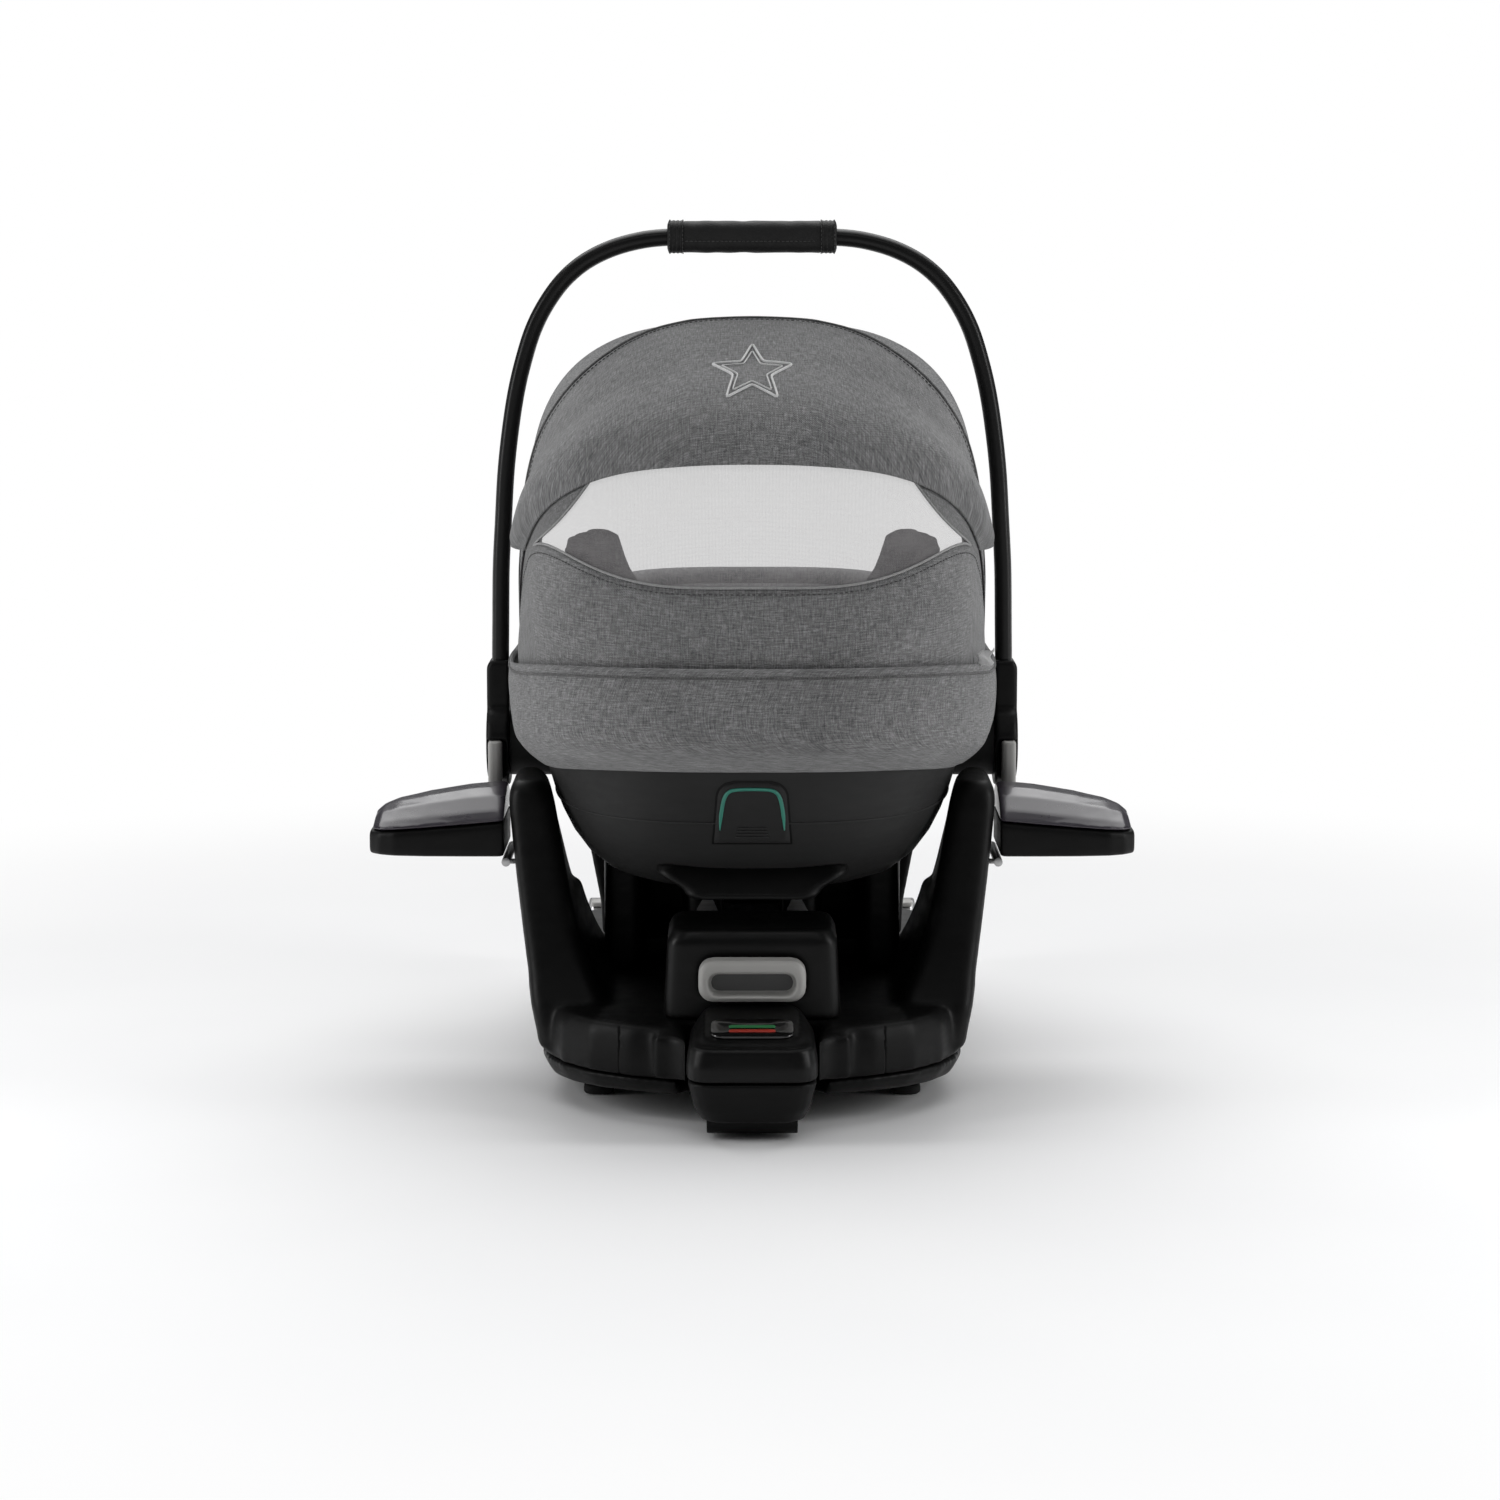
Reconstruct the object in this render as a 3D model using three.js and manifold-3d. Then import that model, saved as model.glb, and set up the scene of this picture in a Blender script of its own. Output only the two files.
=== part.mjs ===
// Infant car seat on its vehicle base: a carrier (shell, liner, pads, harness, canopy, carry handle)
// that docks on a base with two fold-down side-impact wings, a telescoping support leg and two anchor connectors.
// Millimetres, +Z up, +X to the left-hand passenger's right, -Y is the head end of the seat.
// The origin is on the floor at the middle of the overall box.
import * as THREE from "three";
import { mergeVertices } from "three/addons/utils/BufferGeometryUtils.js";
import Module from "manifold-3d";
const wasm = await Module();
wasm.setup();

// ---- driving dimensions ----
const SEAT_YC = 25;            // middle of the carrier along Y
const SHELL_W = 184;           // shell half width at the rim
const SHELL_L = 306;           // shell half length at the rim
const SHELL_BOTTOM = 160;      // underside of the shell above the floor
const PLAN_N = 3;            // superellipse power of the seat plan
const HUB_Z = 262;             // carry handle pivot height
const HUB_X = 204.5;           // inner face of the handle legs
const HANDLE_TOP = 685;        // centre of the handle's cross bar
const CAN_Y = 18, CAN_Z = 305;   // canopy pivot
const CAN_W = 193.5;           // canopy half width
const CAN_R = 315;             // canopy outer radius on the middle line
const WING_PIVOT = [199.6, 183];
const LEG_PIVOT = [-320, 14];
const GAP = 0.4;

const root = new THREE.Group();
const M = {};
const mat = (name, color, roughness, metalness = 0) => (M[name] = new THREE.MeshStandardMaterial({ name, color, roughness, metalness }));
mat("shell_plastic", 0x2b2b2d, 0.55); mat("base_plastic", 0x161617, 0.45); mat("gloss_plastic", 0x39363b, 0.22);
mat("melange_fabric", 0x6c6d70, 0.95); mat("mesh_fabric", 0xb9b6ba, 0.9); mat("foam", 0x3a3b3d, 0.95);
mat("black_tube", 0x1a1a1b, 0.35, 0.6); mat("leather", 0x1c1c1d, 0.6); mat("grey_button", 0xa9a8a6, 0.5);
mat("webbing", 0x242425, 0.9); mat("red_plastic", 0xb3281e, 0.45); mat("green_plastic", 0x3c9a6b, 0.45);
mat("window_plastic", 0x070707, 0.12); mat("steel", 0xb0b2b5, 0.3, 1); mat("rubber", 0x101010, 0.9);

// ---- solids ----
const toM = (g) => {
  const b = new THREE.BufferGeometry().setAttribute("position", (g.index ? g.toNonIndexed() : g).getAttribute("position").clone());
  const m = mergeVertices(b, 1e-3), t = [];
  const ix = m.index.array;
  for (let i = 0; i < ix.length; i += 3) if (ix[i] !== ix[i + 1] && ix[i + 1] !== ix[i + 2] && ix[i] !== ix[i + 2]) t.push(ix[i], ix[i + 1], ix[i + 2]);
  return new wasm.Manifold(new wasm.Mesh({ numProp: 3, vertProperties: new Float32Array(m.attributes.position.array), triVerts: new Uint32Array(t) }));
};
const toG = (man) => {
  const m = man.getMesh(), n = m.numProp, v = new Float32Array(m.numVert * 3);
  for (let i = 0; i < m.numVert; i++) v.set(m.vertProperties.subarray(i * n, i * n + 3), i * 3);
  return new THREE.BufferGeometry().setAttribute("position", new THREE.BufferAttribute(v, 3)).setIndex(new THREE.BufferAttribute(m.triVerts, 1));
};
const soup = (tris) => {
  const a = [];
  for (const t of tris) {
    const [p, q, r] = t;
    const same = (u, w) => Math.hypot(u[0] - w[0], u[1] - w[1], u[2] - w[2]) < 2e-3;
    if (same(p, q) || same(q, r) || same(p, r)) continue;
    a.push(...p, ...q, ...r);
  }
  return new THREE.BufferGeometry().setAttribute("position", new THREE.BufferAttribute(new Float32Array(a), 3));
};
const fix = (tris) => { // flips the whole body when its volume is negative
  let v = 0;
  for (const [a, b, c] of tris) v += a[0] * (b[1] * c[2] - b[2] * c[1]) - a[1] * (b[0] * c[2] - b[2] * c[0]) + a[2] * (b[0] * c[1] - b[1] * c[0]);
  return toM(soup(v < 0 ? tris.map(([a, b, c]) => [a, c, b]) : tris));
};
// two grids of points, [i][j], joined along their borders: wrapI closes the sheet round i
const sheet = (P, Q, wrapI = false) => {
  const t = [], n = P.length, m = P[0].length;
  const quad = (a, b, c, d) => t.push([a, b, c], [a, c, d]);
  const last = wrapI ? n : n - 1;
  for (let i = 0; i < last; i++) {
    const k = (i + 1) % n;
    for (let j = 0; j < m - 1; j++) {
      quad(P[i][j], P[k][j], P[k][j + 1], P[i][j + 1]);
      quad(Q[i][j], Q[i][j + 1], Q[k][j + 1], Q[k][j]);
    }
    quad(P[i][0], Q[i][0], Q[k][0], P[k][0]);
    quad(P[i][m - 1], P[k][m - 1], Q[k][m - 1], Q[i][m - 1]);
  }
  if (!wrapI) for (let j = 0; j < m - 1; j++) {
    quad(P[0][j], P[0][j + 1], Q[0][j + 1], Q[0][j]);
    quad(P[n - 1][j], Q[n - 1][j], Q[n - 1][j + 1], P[n - 1][j + 1]);
  }
  return fix(t);
};
// closed rings, one after another, capped by fans round their middles
const loft = (rings) => {
  const t = [], m = rings[0].length;
  for (let i = 0; i < rings.length - 1; i++) for (let j = 0; j < m; j++) {
    const k = (j + 1) % m;
    t.push([rings[i][j], rings[i][k], rings[i + 1][k]], [rings[i][j], rings[i + 1][k], rings[i + 1][j]]);
  }
  for (const [r, s] of [[rings[0], 1], [rings[rings.length - 1], 0]]) {
    const c = [0, 1, 2].map((d) => r.reduce((a, p) => a + p[d], 0) / m);
    for (let j = 0; j < m; j++) { const k = (j + 1) % m; t.push(s ? [c, r[k], r[j]] : [c, r[j], r[k]]); }
  }
  return fix(t);
};
// rounded rectangle ring in the plane, as [u, v] pairs
const rr = (w, h, r, n = 3) => {
  const p = [];
  for (const [sx, sy, a0] of [[1, 1, 0], [-1, 1, 90], [-1, -1, 180], [1, -1, 270]])
    for (let i = 0; i <= n; i++) {
      const a = ((a0 + (90 * i) / n) * Math.PI) / 180;
      p.push([sx * (w / 2 - r) + r * Math.cos(a), sy * (h / 2 - r) + r * Math.sin(a)]);
    }
  return p;
};
const box = (x0, x1, y0, y1, z0, z1) => toM(new THREE.BoxGeometry(x1 - x0, y1 - y0, z1 - z0).translate((x0 + x1) / 2, (y0 + y1) / 2, (z0 + z1) / 2));
// a box with rounded vertical edges and chamfered top and bottom edges
const slab = (x0, x1, y0, y1, z0, z1, r = 6, c = 1.5, n = 3) => {
  const w = x1 - x0, d = y1 - y0, cx = (x0 + x1) / 2, cy = (y0 + y1) / 2;
  const ring = (k, z) => rr(w - 2 * k, d - 2 * k, Math.max(0.5, r - k), n).map(([u, v]) => [cx + u, cy + v, z]);
  return loft([ring(c, z0), ring(0, z0 + c), ring(0, z1 - c), ring(c, z1)]);
};
const cylX = (r, x0, x1, y, z, n = 24) => toM(new THREE.CylinderGeometry(r, r, x1 - x0, n).rotateZ(Math.PI / 2).translate((x0 + x1) / 2, y, z));
const cylY = (r, y0, y1, x, z, n = 20) => toM(new THREE.CylinderGeometry(r, r, y1 - y0, n).translate(x, (y0 + y1) / 2, z));
const cylZ = (r, z0, z1, x, y, n = 20) => toM(new THREE.CylinderGeometry(r, r, z1 - z0, n).rotateX(Math.PI / 2).translate(x, y, (z0 + z1) / 2));
const part = (name, man, m) => { const o = new THREE.Mesh(toG(man), M[m]); o.name = name; root.add(o); return man; };
const mirror = (man) => man.mirror([1, 0, 0]);
const pair = (name, man, m) => { part(name + "_right", man, m); part(name + "_left", mirror(man), m); };
const lerp = (a, b, t) => a + (b - a) * t;
const table = (pts) => (x) => {
  if (x <= pts[0][0]) return pts[0][1];
  for (let i = 1; i < pts.length; i++) if (x <= pts[i][0]) {
    const t = (x - pts[i - 1][0]) / (pts[i][0] - pts[i - 1][0]);
    return lerp(pts[i - 1][1], pts[i][1], t * t * (3 - 2 * t));
  }
  return pts[pts.length - 1][1];
};

// ---- carrier shell, liner and pad: three nested bowls ----
const rimZ = table([[-300, 356], [-60, 338], [70, 334], [340, 372]]);
const wall = (rho, p = 6, q = 0.757) => 1 - Math.pow(Math.max(0, 1 - Math.pow(Math.min(rho, 1), p)), q);
const planDir = (a) => {
  const c = Math.cos(a), s = Math.sin(a), k = 2 / PLAN_N;
  return [Math.sign(c) * Math.pow(Math.abs(c), k), Math.sign(s) * Math.pow(Math.abs(s), k)];
};
const RHO = [0, 0.45, 0.7, 0.83, 0.91, 0.96, 0.99, 1];
const NT = 34;
const bowlGrid = (W, L, floorZ, dz = 0, top = 0, p = 6, q = 0.757) => {
  const g = [];
  for (let i = 0; i < NT; i++) {
    const [dx, dy] = planDir((2 * Math.PI * (i + 0.5)) / NT);
    g.push(RHO.map((r) => {
      const x = r * W * dx, y = SEAT_YC + r * L * dy, zb = floorZ(y) + dz;
      return [r ? x : 0, r ? y : SEAT_YC, zb + (rimZ(y) + top - zb) * wall(r, p, q)];
    }));
  }
  return g;
};
const flat = (z) => () => z;
const liner = table([[-262, 335], [-200, 292], [-120, 246], [-20, 208], [70, 190], [140, 206], [220, 262], [300, 325]]);
const linerMid = (y) => liner(y);
const bowl = (a, b) => sheet(a, b, true);
const shell = bowl(bowlGrid(SHELL_W, SHELL_L, flat(SHELL_BOTTOM)), bowlGrid(SHELL_W - 4, SHELL_L - 4, flat(SHELL_BOTTOM + 4)));
part("seat_shell", shell, "shell_plastic");
// the bowl as a solid block, grown by g, for cutting its neighbours
const block = (g, top = 0) => {
  const G = bowlGrid(SHELL_W + g, SHELL_L + g, flat(SHELL_BOTTOM - g), 0, top);
  const t = [];
  for (let i = 0; i < NT; i++) {
    const k = (i + 1) % NT, m = RHO.length - 1;
    for (let j = 0; j < m; j++) t.push([G[i][j], G[k][j], G[k][j + 1]], [G[i][j], G[k][j + 1], G[i][j + 1]]);
    t.push([G[i][m], G[k][m], [0, SEAT_YC, 350]]);
  }
  return fix(t);
};
part("foam_liner", bowl(bowlGrid(SHELL_W - 4.8, SHELL_L - 4.8, flat(SHELL_BOTTOM + 4.8)), bowlGrid(SHELL_W - 19, SHELL_L - 19, linerMid, 0, 0)), "foam");
part("seat_pad", bowl(bowlGrid(SHELL_W - 19.9, SHELL_L - 19.9, linerMid, 0.9, 0), bowlGrid(SHELL_W - 31, SHELL_L - 31, linerMid, 11, 0)), "melange_fabric");
const padZ = (x, y, up) => {
  const W = SHELL_W - 31, L = SHELL_L - 31;
  const r = Math.pow(Math.pow(Math.abs(x) / W, PLAN_N) + Math.pow(Math.abs(y - SEAT_YC) / L, PLAN_N), 1 / PLAN_N);
  const zb = linerMid(y) + 11;
  return zb + (rimZ(y) - zb) * wall(r) + up;
};

// fabric skirt round the rim: a pocket open at the top, drawn in under the rim
const skirtLow = table([[-300, 276], [-150, 264], [-105, 274], [-62, 297], [62, 297], [110, 290], [350, 318]]);
const shellRho = (z, zr) => {
  const h = Math.max(0, Math.min(0.999, (z - SHELL_BOTTOM) / (zr - SHELL_BOTTOM)));
  return Math.pow(1 - Math.pow(1 - h, 1 / 0.757), 1 / 6);
};
const skirtGrid = (inset) => {
  const g = [];
  for (let i = 0; i < NT + 6; i++) {
    const [dx, dy] = planDir((2 * Math.PI * (i + 0.5)) / (NT + 6));
    const y1 = SEAT_YC + SHELL_L * dy, zr = rimZ(y1), zl = skirtLow(y1);
    const pt = (w, z) => [(w - inset) * dx, SEAT_YC + (w - inset + SHELL_L - SHELL_W) * dy, z];
    const low = (z, o) => {
      const r = shellRho(z, zr);
      return [(SHELL_W * r + o - inset) * dx, SEAT_YC + (SHELL_L * r + o - inset) * dy, z];
    };
    const h = zr - zl;
    g.push([pt(200, zr + 3), pt(202, zr - 0.12 * h), pt(202.5, zr - 0.4 * h), pt(201.5, zr - 0.66 * h), [0, 1, 2].map((d) => lerp(pt(200, zl + 0.16 * h)[d], low(zl + 0.16 * h, 9)[d], 0.4)), low(zl, inset > 0 ? 8.5 : 9)]);
  }
  return g;
};
part("rim_skirt", sheet(skirtGrid(0), skirtGrid(4), true), "melange_fabric");
const skirtKeepout = sheet(skirtGrid(-12), skirtGrid(4.5), true).translate([0, 0, 0.4]);

// ---- canopy: sectors of one round form about the canopy pivot axis ----
const PROFILE = [[0, 1], [0.26, 0.993], [0.5, 0.968], [0.68, 0.918], [0.81, 0.845], [0.9, 0.745], [0.955, 0.61], [0.985, 0.45], [0.995, 0.3], [1, 0.16]];
const canProfile = (inset) => {
  const half = PROFILE.map(([x, r], i) => {
    const a = PROFILE[Math.max(0, i - 1)], b = PROFILE[Math.min(PROFILE.length - 1, i + 1)];
    const tx = (b[0] - a[0]) * CAN_W, tr = (b[1] - a[1]) * CAN_R, l = Math.hypot(tx, tr);
    return [x * CAN_W - (tr / l) * inset, r * CAN_R + (tx / l) * inset];
  });
  half[0][0] = 0;
  return [...half.slice(1).reverse().map(([x, r]) => [-x, r]), ...half];
};
const DEG = Math.PI / 180;
const sector = (o0, o1, p0, p1, n = 8, cut = null) => {
  const A = canProfile(o0), B = canProfile(o1);
  const at = ([x, r], f) => [x, CAN_Y + r * Math.cos(f * DEG), CAN_Z + r * Math.sin(f * DEG)];
  const P = [], Q = [];
  for (let i = 0; i < A.length; i++) {
    if (cut && (Math.abs(A[i][0]) > cut)) continue;
    const fs = Array.from({ length: n + 1 }, (_, k) => lerp(p0(A[i][0]), p1(A[i][0]), k / n));
    P.push(fs.map((f) => at(A[i], f))); Q.push(fs.map((f) => at(B[i], f)));
  }
  return sheet(P, Q);
};
const c = (v) => () => v;
const rearLow = (x) => 172.5 - 12 * Math.pow(Math.min(1, Math.abs(x) / CAN_W), 6);
const winLow = (x) => 156.2 - 7.5 * Math.pow(Math.min(1, Math.abs(x) / 180), 2);
const rear = sector(-2.6, -4.4, c(131), rearLow, 6);
const winCut = sector(0, -8, c(136.5), winLow, 5, 183);
const rearParts = rear.subtract(winCut).subtract(skirtKeepout).decompose().sort((a, b) => b.volume() - a.volume());
part("canopy_rear_panel", rearParts[0], "melange_fabric");
part("canopy_window_mesh", sector(-3, -4, c(136.9), (x) => winLow(x) - 0.4, 4, 168), "mesh_fabric");
part("canopy_mid_panel", sector(0, -1.8, c(98), c(137.4), 6), "melange_fabric");
part("canopy_mid_bow", sector(0.2, -2, c(137.6), c(140.4), 1), "black_tube");
part("canopy_front_panel", sector(-5.2, -7, c(60.6), c(101), 6), "melange_fabric");
part("canopy_front_bow", sector(-5, -7.2, c(57.6), c(60.4), 1), "black_tube");

// ---- carry handle ----
const SIDE = [[211.5, 300], [211.5, 330], [211, 365], [210.2, 410], [208, 450], [205.5, 490], [201.5, 525], [196.5, 556], [190, 583], [181.5, 609], [170, 631], [155.5, 650], [138, 664.5], [117, 675], [94, 681.5], [72, 684.2], [40, 685], [0, 685]];
const line = [...SIDE.map(([x, z]) => [-x, z]), ...SIDE.slice(0, -1).reverse()];
const sweep = (pts, w, d, r, n = 2) => loft(pts.map(([x, z], i) => {
  const a = pts[Math.max(0, i - 1)], b = pts[Math.min(pts.length - 1, i + 1)], l = Math.hypot(b[0] - a[0], b[1] - a[1]);
  const nx = -(b[1] - a[1]) / l, nz = (b[0] - a[0]) / l;
  return rr(w, d, r, n).map(([u, v]) => [x + nx * u, v, z + nz * u]);
}));
const tube = sweep(line, 14, 24, 6);
part("handle_tube", tube, "black_tube");
const tubeCut = sweep(line, 14.8, 24.8, 6.3);
const gx = [-70, -66, -40, 0, 40, 66, 70];
const grip = loft(gx.map((x) => rr(Math.abs(x) > 69 ? 22 : Math.abs(x) > 60 ? 27 : 26, Math.abs(x) > 69 ? 31 : 35, 9, 3).map(([u, v]) => [x, v, 684.7 + u])));
part("handle_grip", grip.subtract(tubeCut), "leather");
const hubShape = new THREE.Shape();
{
  const pts = [];
  for (let i = 0; i <= 22; i++) { const a = (118 + (304 * i) / 22) * DEG; pts.push([36 * Math.cos(a), HUB_Z + 36 * Math.sin(a)]); }
  pts.push([17.5, 306], [17, 331], [14.5, 334], [-14.5, 334], [-17, 331], [-17.5, 306]);
  pts.forEach(([y, z], i) => (i ? hubShape.lineTo(y, z) : hubShape.moveTo(y, z)));
}
const hubRing = (k, x) => hubShape.getPoints().map((p) => [x, p.x * k, HUB_Z + 20 + (p.y - HUB_Z - 20) * k]);
const hubBody = loft([hubRing(0.97, 203.4), hubRing(1, 205), hubRing(1, 217), hubRing(0.97, 220), hubRing(0.88, 222.3)]);
const btn = slab(208.5, 220.4, -40, -24.5, 230, 268, 4, 1.2);
const btnCut = box(204.9, 221, -41, -24, 229.4, 268.6).add(box(204.9, 230, -41, -24, 229.4, 268.6));
pair("handle_hub", hubBody.subtract(tubeCut).subtract(btnCut), "base_plastic");
pair("handle_button", btn, "grey_button");
pair("hub_mount", cylX(27, 150, 203, 0, HUB_Z, 28).subtract(block(0.5)), "shell_plastic");

// ---- head support and harness ----
const HR = [];
for (let i = 0; i <= 14; i++) { const a = (-(8) - (164 * i) / 14) * DEG; HR.push([138 * Math.sign(Math.cos(a)) * Math.pow(Math.abs(Math.cos(a)), 0.75), -92 - 128 * Math.pow(-Math.sin(a), 0.75)]); }
const hrTop = (x) => 372 + 80 * Math.exp(-Math.pow((Math.abs(x) - 122) / 30, 2));
const hrGrid = (k) => HR.map(([x, y]) => {
  const l = Math.hypot(x, (y + 92) || 1e-6), ux = x / l, uy = (y + 92) / l, top = hrTop(x);
  return [318, 332, 350, 0.5, 0.85, 1].map((z, j) => {
    const zz = j < 3 ? z : lerp(350, top, z), f = j === 0 || j === 5 ? 0.75 : 1, q = k * f + (k ? 0 : (1 - f) * 5);
    return [x - ux * q, y - uy * q + (zz - 318) * -0.04, zz];
  });
});
const padSpace = (g) => bowl(bowlGrid(SHELL_W + 30, SHELL_L + 30, flat(140), 0, 30), bowlGrid(SHELL_W - 31 - g, SHELL_L - 31 - g, linerMid, 11 + g, 0));
part("headrest", sheet(hrGrid(0), hrGrid(22)).subtract(padSpace(1.2)), "melange_fabric");
const strap = (pts, w, th, up) => {
  const P = [], Q = [];
  pts.forEach(([x, y], i) => {
    const a = pts[Math.max(0, i - 1)], b = pts[Math.min(pts.length - 1, i + 1)], l = Math.hypot(b[0] - a[0], b[1] - a[1]);
    const nx = -(b[1] - a[1]) / l, ny = (b[0] - a[0]) / l;
    const row = [-w / 2, 0, w / 2].map((s) => [x + nx * s, y + ny * s]);
    P.push(row.map(([u, v]) => [u, v, padZ(u, v, up + th)])); Q.push(row.map(([u, v]) => [u, v, padZ(u, v, up)]));
  });
  return sheet(P, Q);
};
const sy = (x0, y0, x1, y1, n = 7) => Array.from({ length: n + 1 }, (_, i) => [lerp(x0, x1, i / n), lerp(y0, y1, i / n)]);
pair("harness_strap", strap(sy(42, -168, 19, 38, 8), 30, 3, 28), "webbing");
pair("shoulder_pad", strap(sy(41, -150, 25, -30, 6), 46, 8, 34.5), "melange_fabric");
part("newborn_insert", sheet(...[6, 27].map((u) => [-108, -80, -45, 0, 45, 80, 108].map((x) => [-150, -110, -60, 0, 50, 100].map((y) => [x, y, padZ(x, y, u - 6.6)])))).subtract(padSpace(1)), "melange_fabric");
const bz = padZ(0, 66, 0);
part("harness_buckle", slab(-24, 24, 42, 92, bz + 28, bz + 44, 9, 3).subtract(box(-11.5, 11.5, 55.5, 78.5, bz + 38, bz + 50)), "base_plastic");
part("buckle_button", slab(-11, 11, 56, 78, bz + 42, bz + 47, 5, 1.2), "red_plastic");
part("crotch_strap", slab(-17, 17, 100.5, 104, padZ(0, 102, 1.5), bz + 40, 1.5, 0.6, 1).add(box(-17, 17, 92.3, 103, bz + 33, bz + 36)).subtract(padSpace(0.8)), "webbing");
part("harness_adjuster", strap([[0, 150], [0, 159], [0, 168], [0, 178]], 26, 7, 1.6).subtract(padSpace(0.8)), "grey_button");

// ---- release lever on the back of the shell ----
const shellPoint = (x, z, o) => { // a point on the head end of the shell, o outside it
  let lo = -SHELL_L + SEAT_YC, hi = 0;
  const f = (y) => { const r = Math.pow(Math.pow(Math.abs(x) / SHELL_W, PLAN_N) + Math.pow(Math.abs(y - SEAT_YC) / SHELL_L, PLAN_N), 1 / PLAN_N); return r > 1 ? 1e3 : SHELL_BOTTOM + (rimZ(y) - SHELL_BOTTOM) * wall(r); };
  for (let k = 0; k < 40; k++) { const m = (lo + hi) / 2; if (f(m) > z) lo = m; else hi = m; }
  const y = (lo + hi) / 2, e = 1, s = (f(y + e) - f(y - e)) / (2 * e), l = Math.hypot(1, s);
  return [x, y + (o * s) / l, z - (o * 1) / l];
};
const latchGrid = (o, x0, z0, z1, n = 6, taper = 0.12) => {
  const xs = [-1, -0.5, 0, 0.5, 1], g = [];
  for (const u of xs) g.push(Array.from({ length: n + 1 }, (_, k) => { const z = lerp(z0, z1, k / n), w = x0 * (1 - taper * (k / n)); return shellPoint(u * w, z, o); }));
  return g;
};
part("release_lever", sheet(latchGrid(7.5, 33, 216, 264), latchGrid(2, 33, 216, 264)), "shell_plastic");
part("lever_trim", sheet(latchGrid(9, 27, 226, 262, 6), latchGrid(7.9, 27, 226, 262, 6)).subtract(sheet(latchGrid(12, 24, 215, 259.6, 6), latchGrid(4, 24, 215, 259.6, 6))), "green_plastic");
part("rear_skid", slab(-88, 88, -232, -150, 168, 196, 16, 4).subtract(block(0.5)), "shell_plastic");

// ---- base: lower tray, top cover, side arms ----
const PLAN = [[0, -290], [30, -289.5], [62, -285], [96, -273], [128, -252], [151, -224], [165, -190], [171, -150], [170, -110], [167, 190], [163, 222], [148, 246], [124, 257], [60, 260], [0, 260]];
const planRing = (kx, ky, z, dz = 0) => {
  const half = PLAN.map(([x, y]) => [x * kx, (y + 15) * ky - 15, z + (y < -120 ? dz * Math.min(1, (-120 - y) / 150) : 0)]);
  return [...half, ...half.slice(1, -1).reverse().map(([x, y, q]) => [-x, y, q])];
};
const legChannel = box(-38.5, 38.5, -333.5, 300, -5, 28.5).add(box(-44, 44, -64, 300, -5, 28.5));
const lower = loft([planRing(0.89, 0.93, 8, 12), planRing(0.955, 0.968, 13, 11), planRing(0.99, 0.99, 24, 8), planRing(1, 1, 36, 0)]);
const armShape = (z) => { // [x inner front, x inner rear, x outer, y front, y rear] at height z
  const u = Math.min(1, Math.max(0, (z - 30) / 212)), t = u * (1.36 - 0.36 * u);
  return [lerp(112, 161, t), lerp(118, 168, t), lerp(168, 198, t), lerp(-205, -146, t), lerp(60, -48, t)];
};
const armRing = (z, k = 0) => {
  const [xf, xr, xo, yf, yb] = armShape(z), r = 12, p = [];
  const corner = (x, y, a0, rx) => { for (let i = 0; i <= 3; i++) { const a = (a0 + 30 * i) * DEG; p.push([x + rx * Math.cos(a), y + rx * Math.sin(a), z]); } };
  corner(xo - r - k, yb - r - k, 0, r); corner(xr + r + k, yb - r - k, 90, r); corner(xf + r + k, yf + r + k, 180, r); corner(xo - r - k, yf + r + k, 270, r);
  return p;
};
const arm = loft([armRing(76.4), armRing(95), armRing(115), armRing(140), armRing(170), armRing(205), armRing(232), armRing(243, 1.5), armRing(250, 7)]);
const upper = loft([planRing(1, 1, 36.4), planRing(1, 1, 52), planRing(0.99, 0.99, 68), planRing(0.97, 0.975, 76)]);
const isoChannel = box(126.6, 153.4, -70, 300, 41.6, 66.4).add(box(130.4, 149.6, 186, 300, 60, 71.6));
const nosePlan = (kx, y0, y1, z, slope = 0) => rr(2 * kx, y1 - y0, 20, 4).map(([u, v]) => [u, (y0 + y1) / 2 + v, z + slope * ((y0 + y1) / 2 + v - y1)]);
const noseSpace = loft([nosePlan(57.5, -353, -250, 8), nosePlan(57.5, -353, -250, 130)]);
part("base_tray", lower.subtract(legChannel).subtract(noseSpace), "base_plastic");
part("base_cover", upper.subtract(isoChannel).subtract(mirror(isoChannel)).subtract(noseSpace), "base_plastic");
pair("side_arm", arm, "base_plastic");
// ---- side impact wings ----
const wingRing = (x, zt, y0, y1, up) => up
  ? [[x, y0 + 1, 207.4], [x, y0, 210], [x, y0 + 8, lerp(207, zt, 0.42)], [x, y0 + 26, lerp(207, zt, 0.82)], [x, y0 + 48, zt], [x, y1 - 16, zt], [x, y1 - 3, lerp(207, zt, 0.7)], [x, y1, 210], [x, y1 - 1, 207.4]]
  : rr(y1 - y0, 19.4, 4, 2).map(([u, v]) => [x, (y0 + y1) / 2 + u, 197.3 + v]);
const WX = [[201, 238, -142, -50], [206, 239, -143, -49], [235, 238.5, -143, -49], [265, 236, -142, -50], [290, 231, -139, -54], [303, 225.5, -133, -61], [309, 219, -124, -70]];
pair("wing_body", loft(WX.map(([x, z, a, b], i) => wingRing(x + (i === 6 ? 2.5 : 0), z, a, b, false))), "base_plastic");
pair("wing_cover", loft(WX.map(([x, z, a, b]) => wingRing(x, z, a, b, true))), "gloss_plastic");
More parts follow.
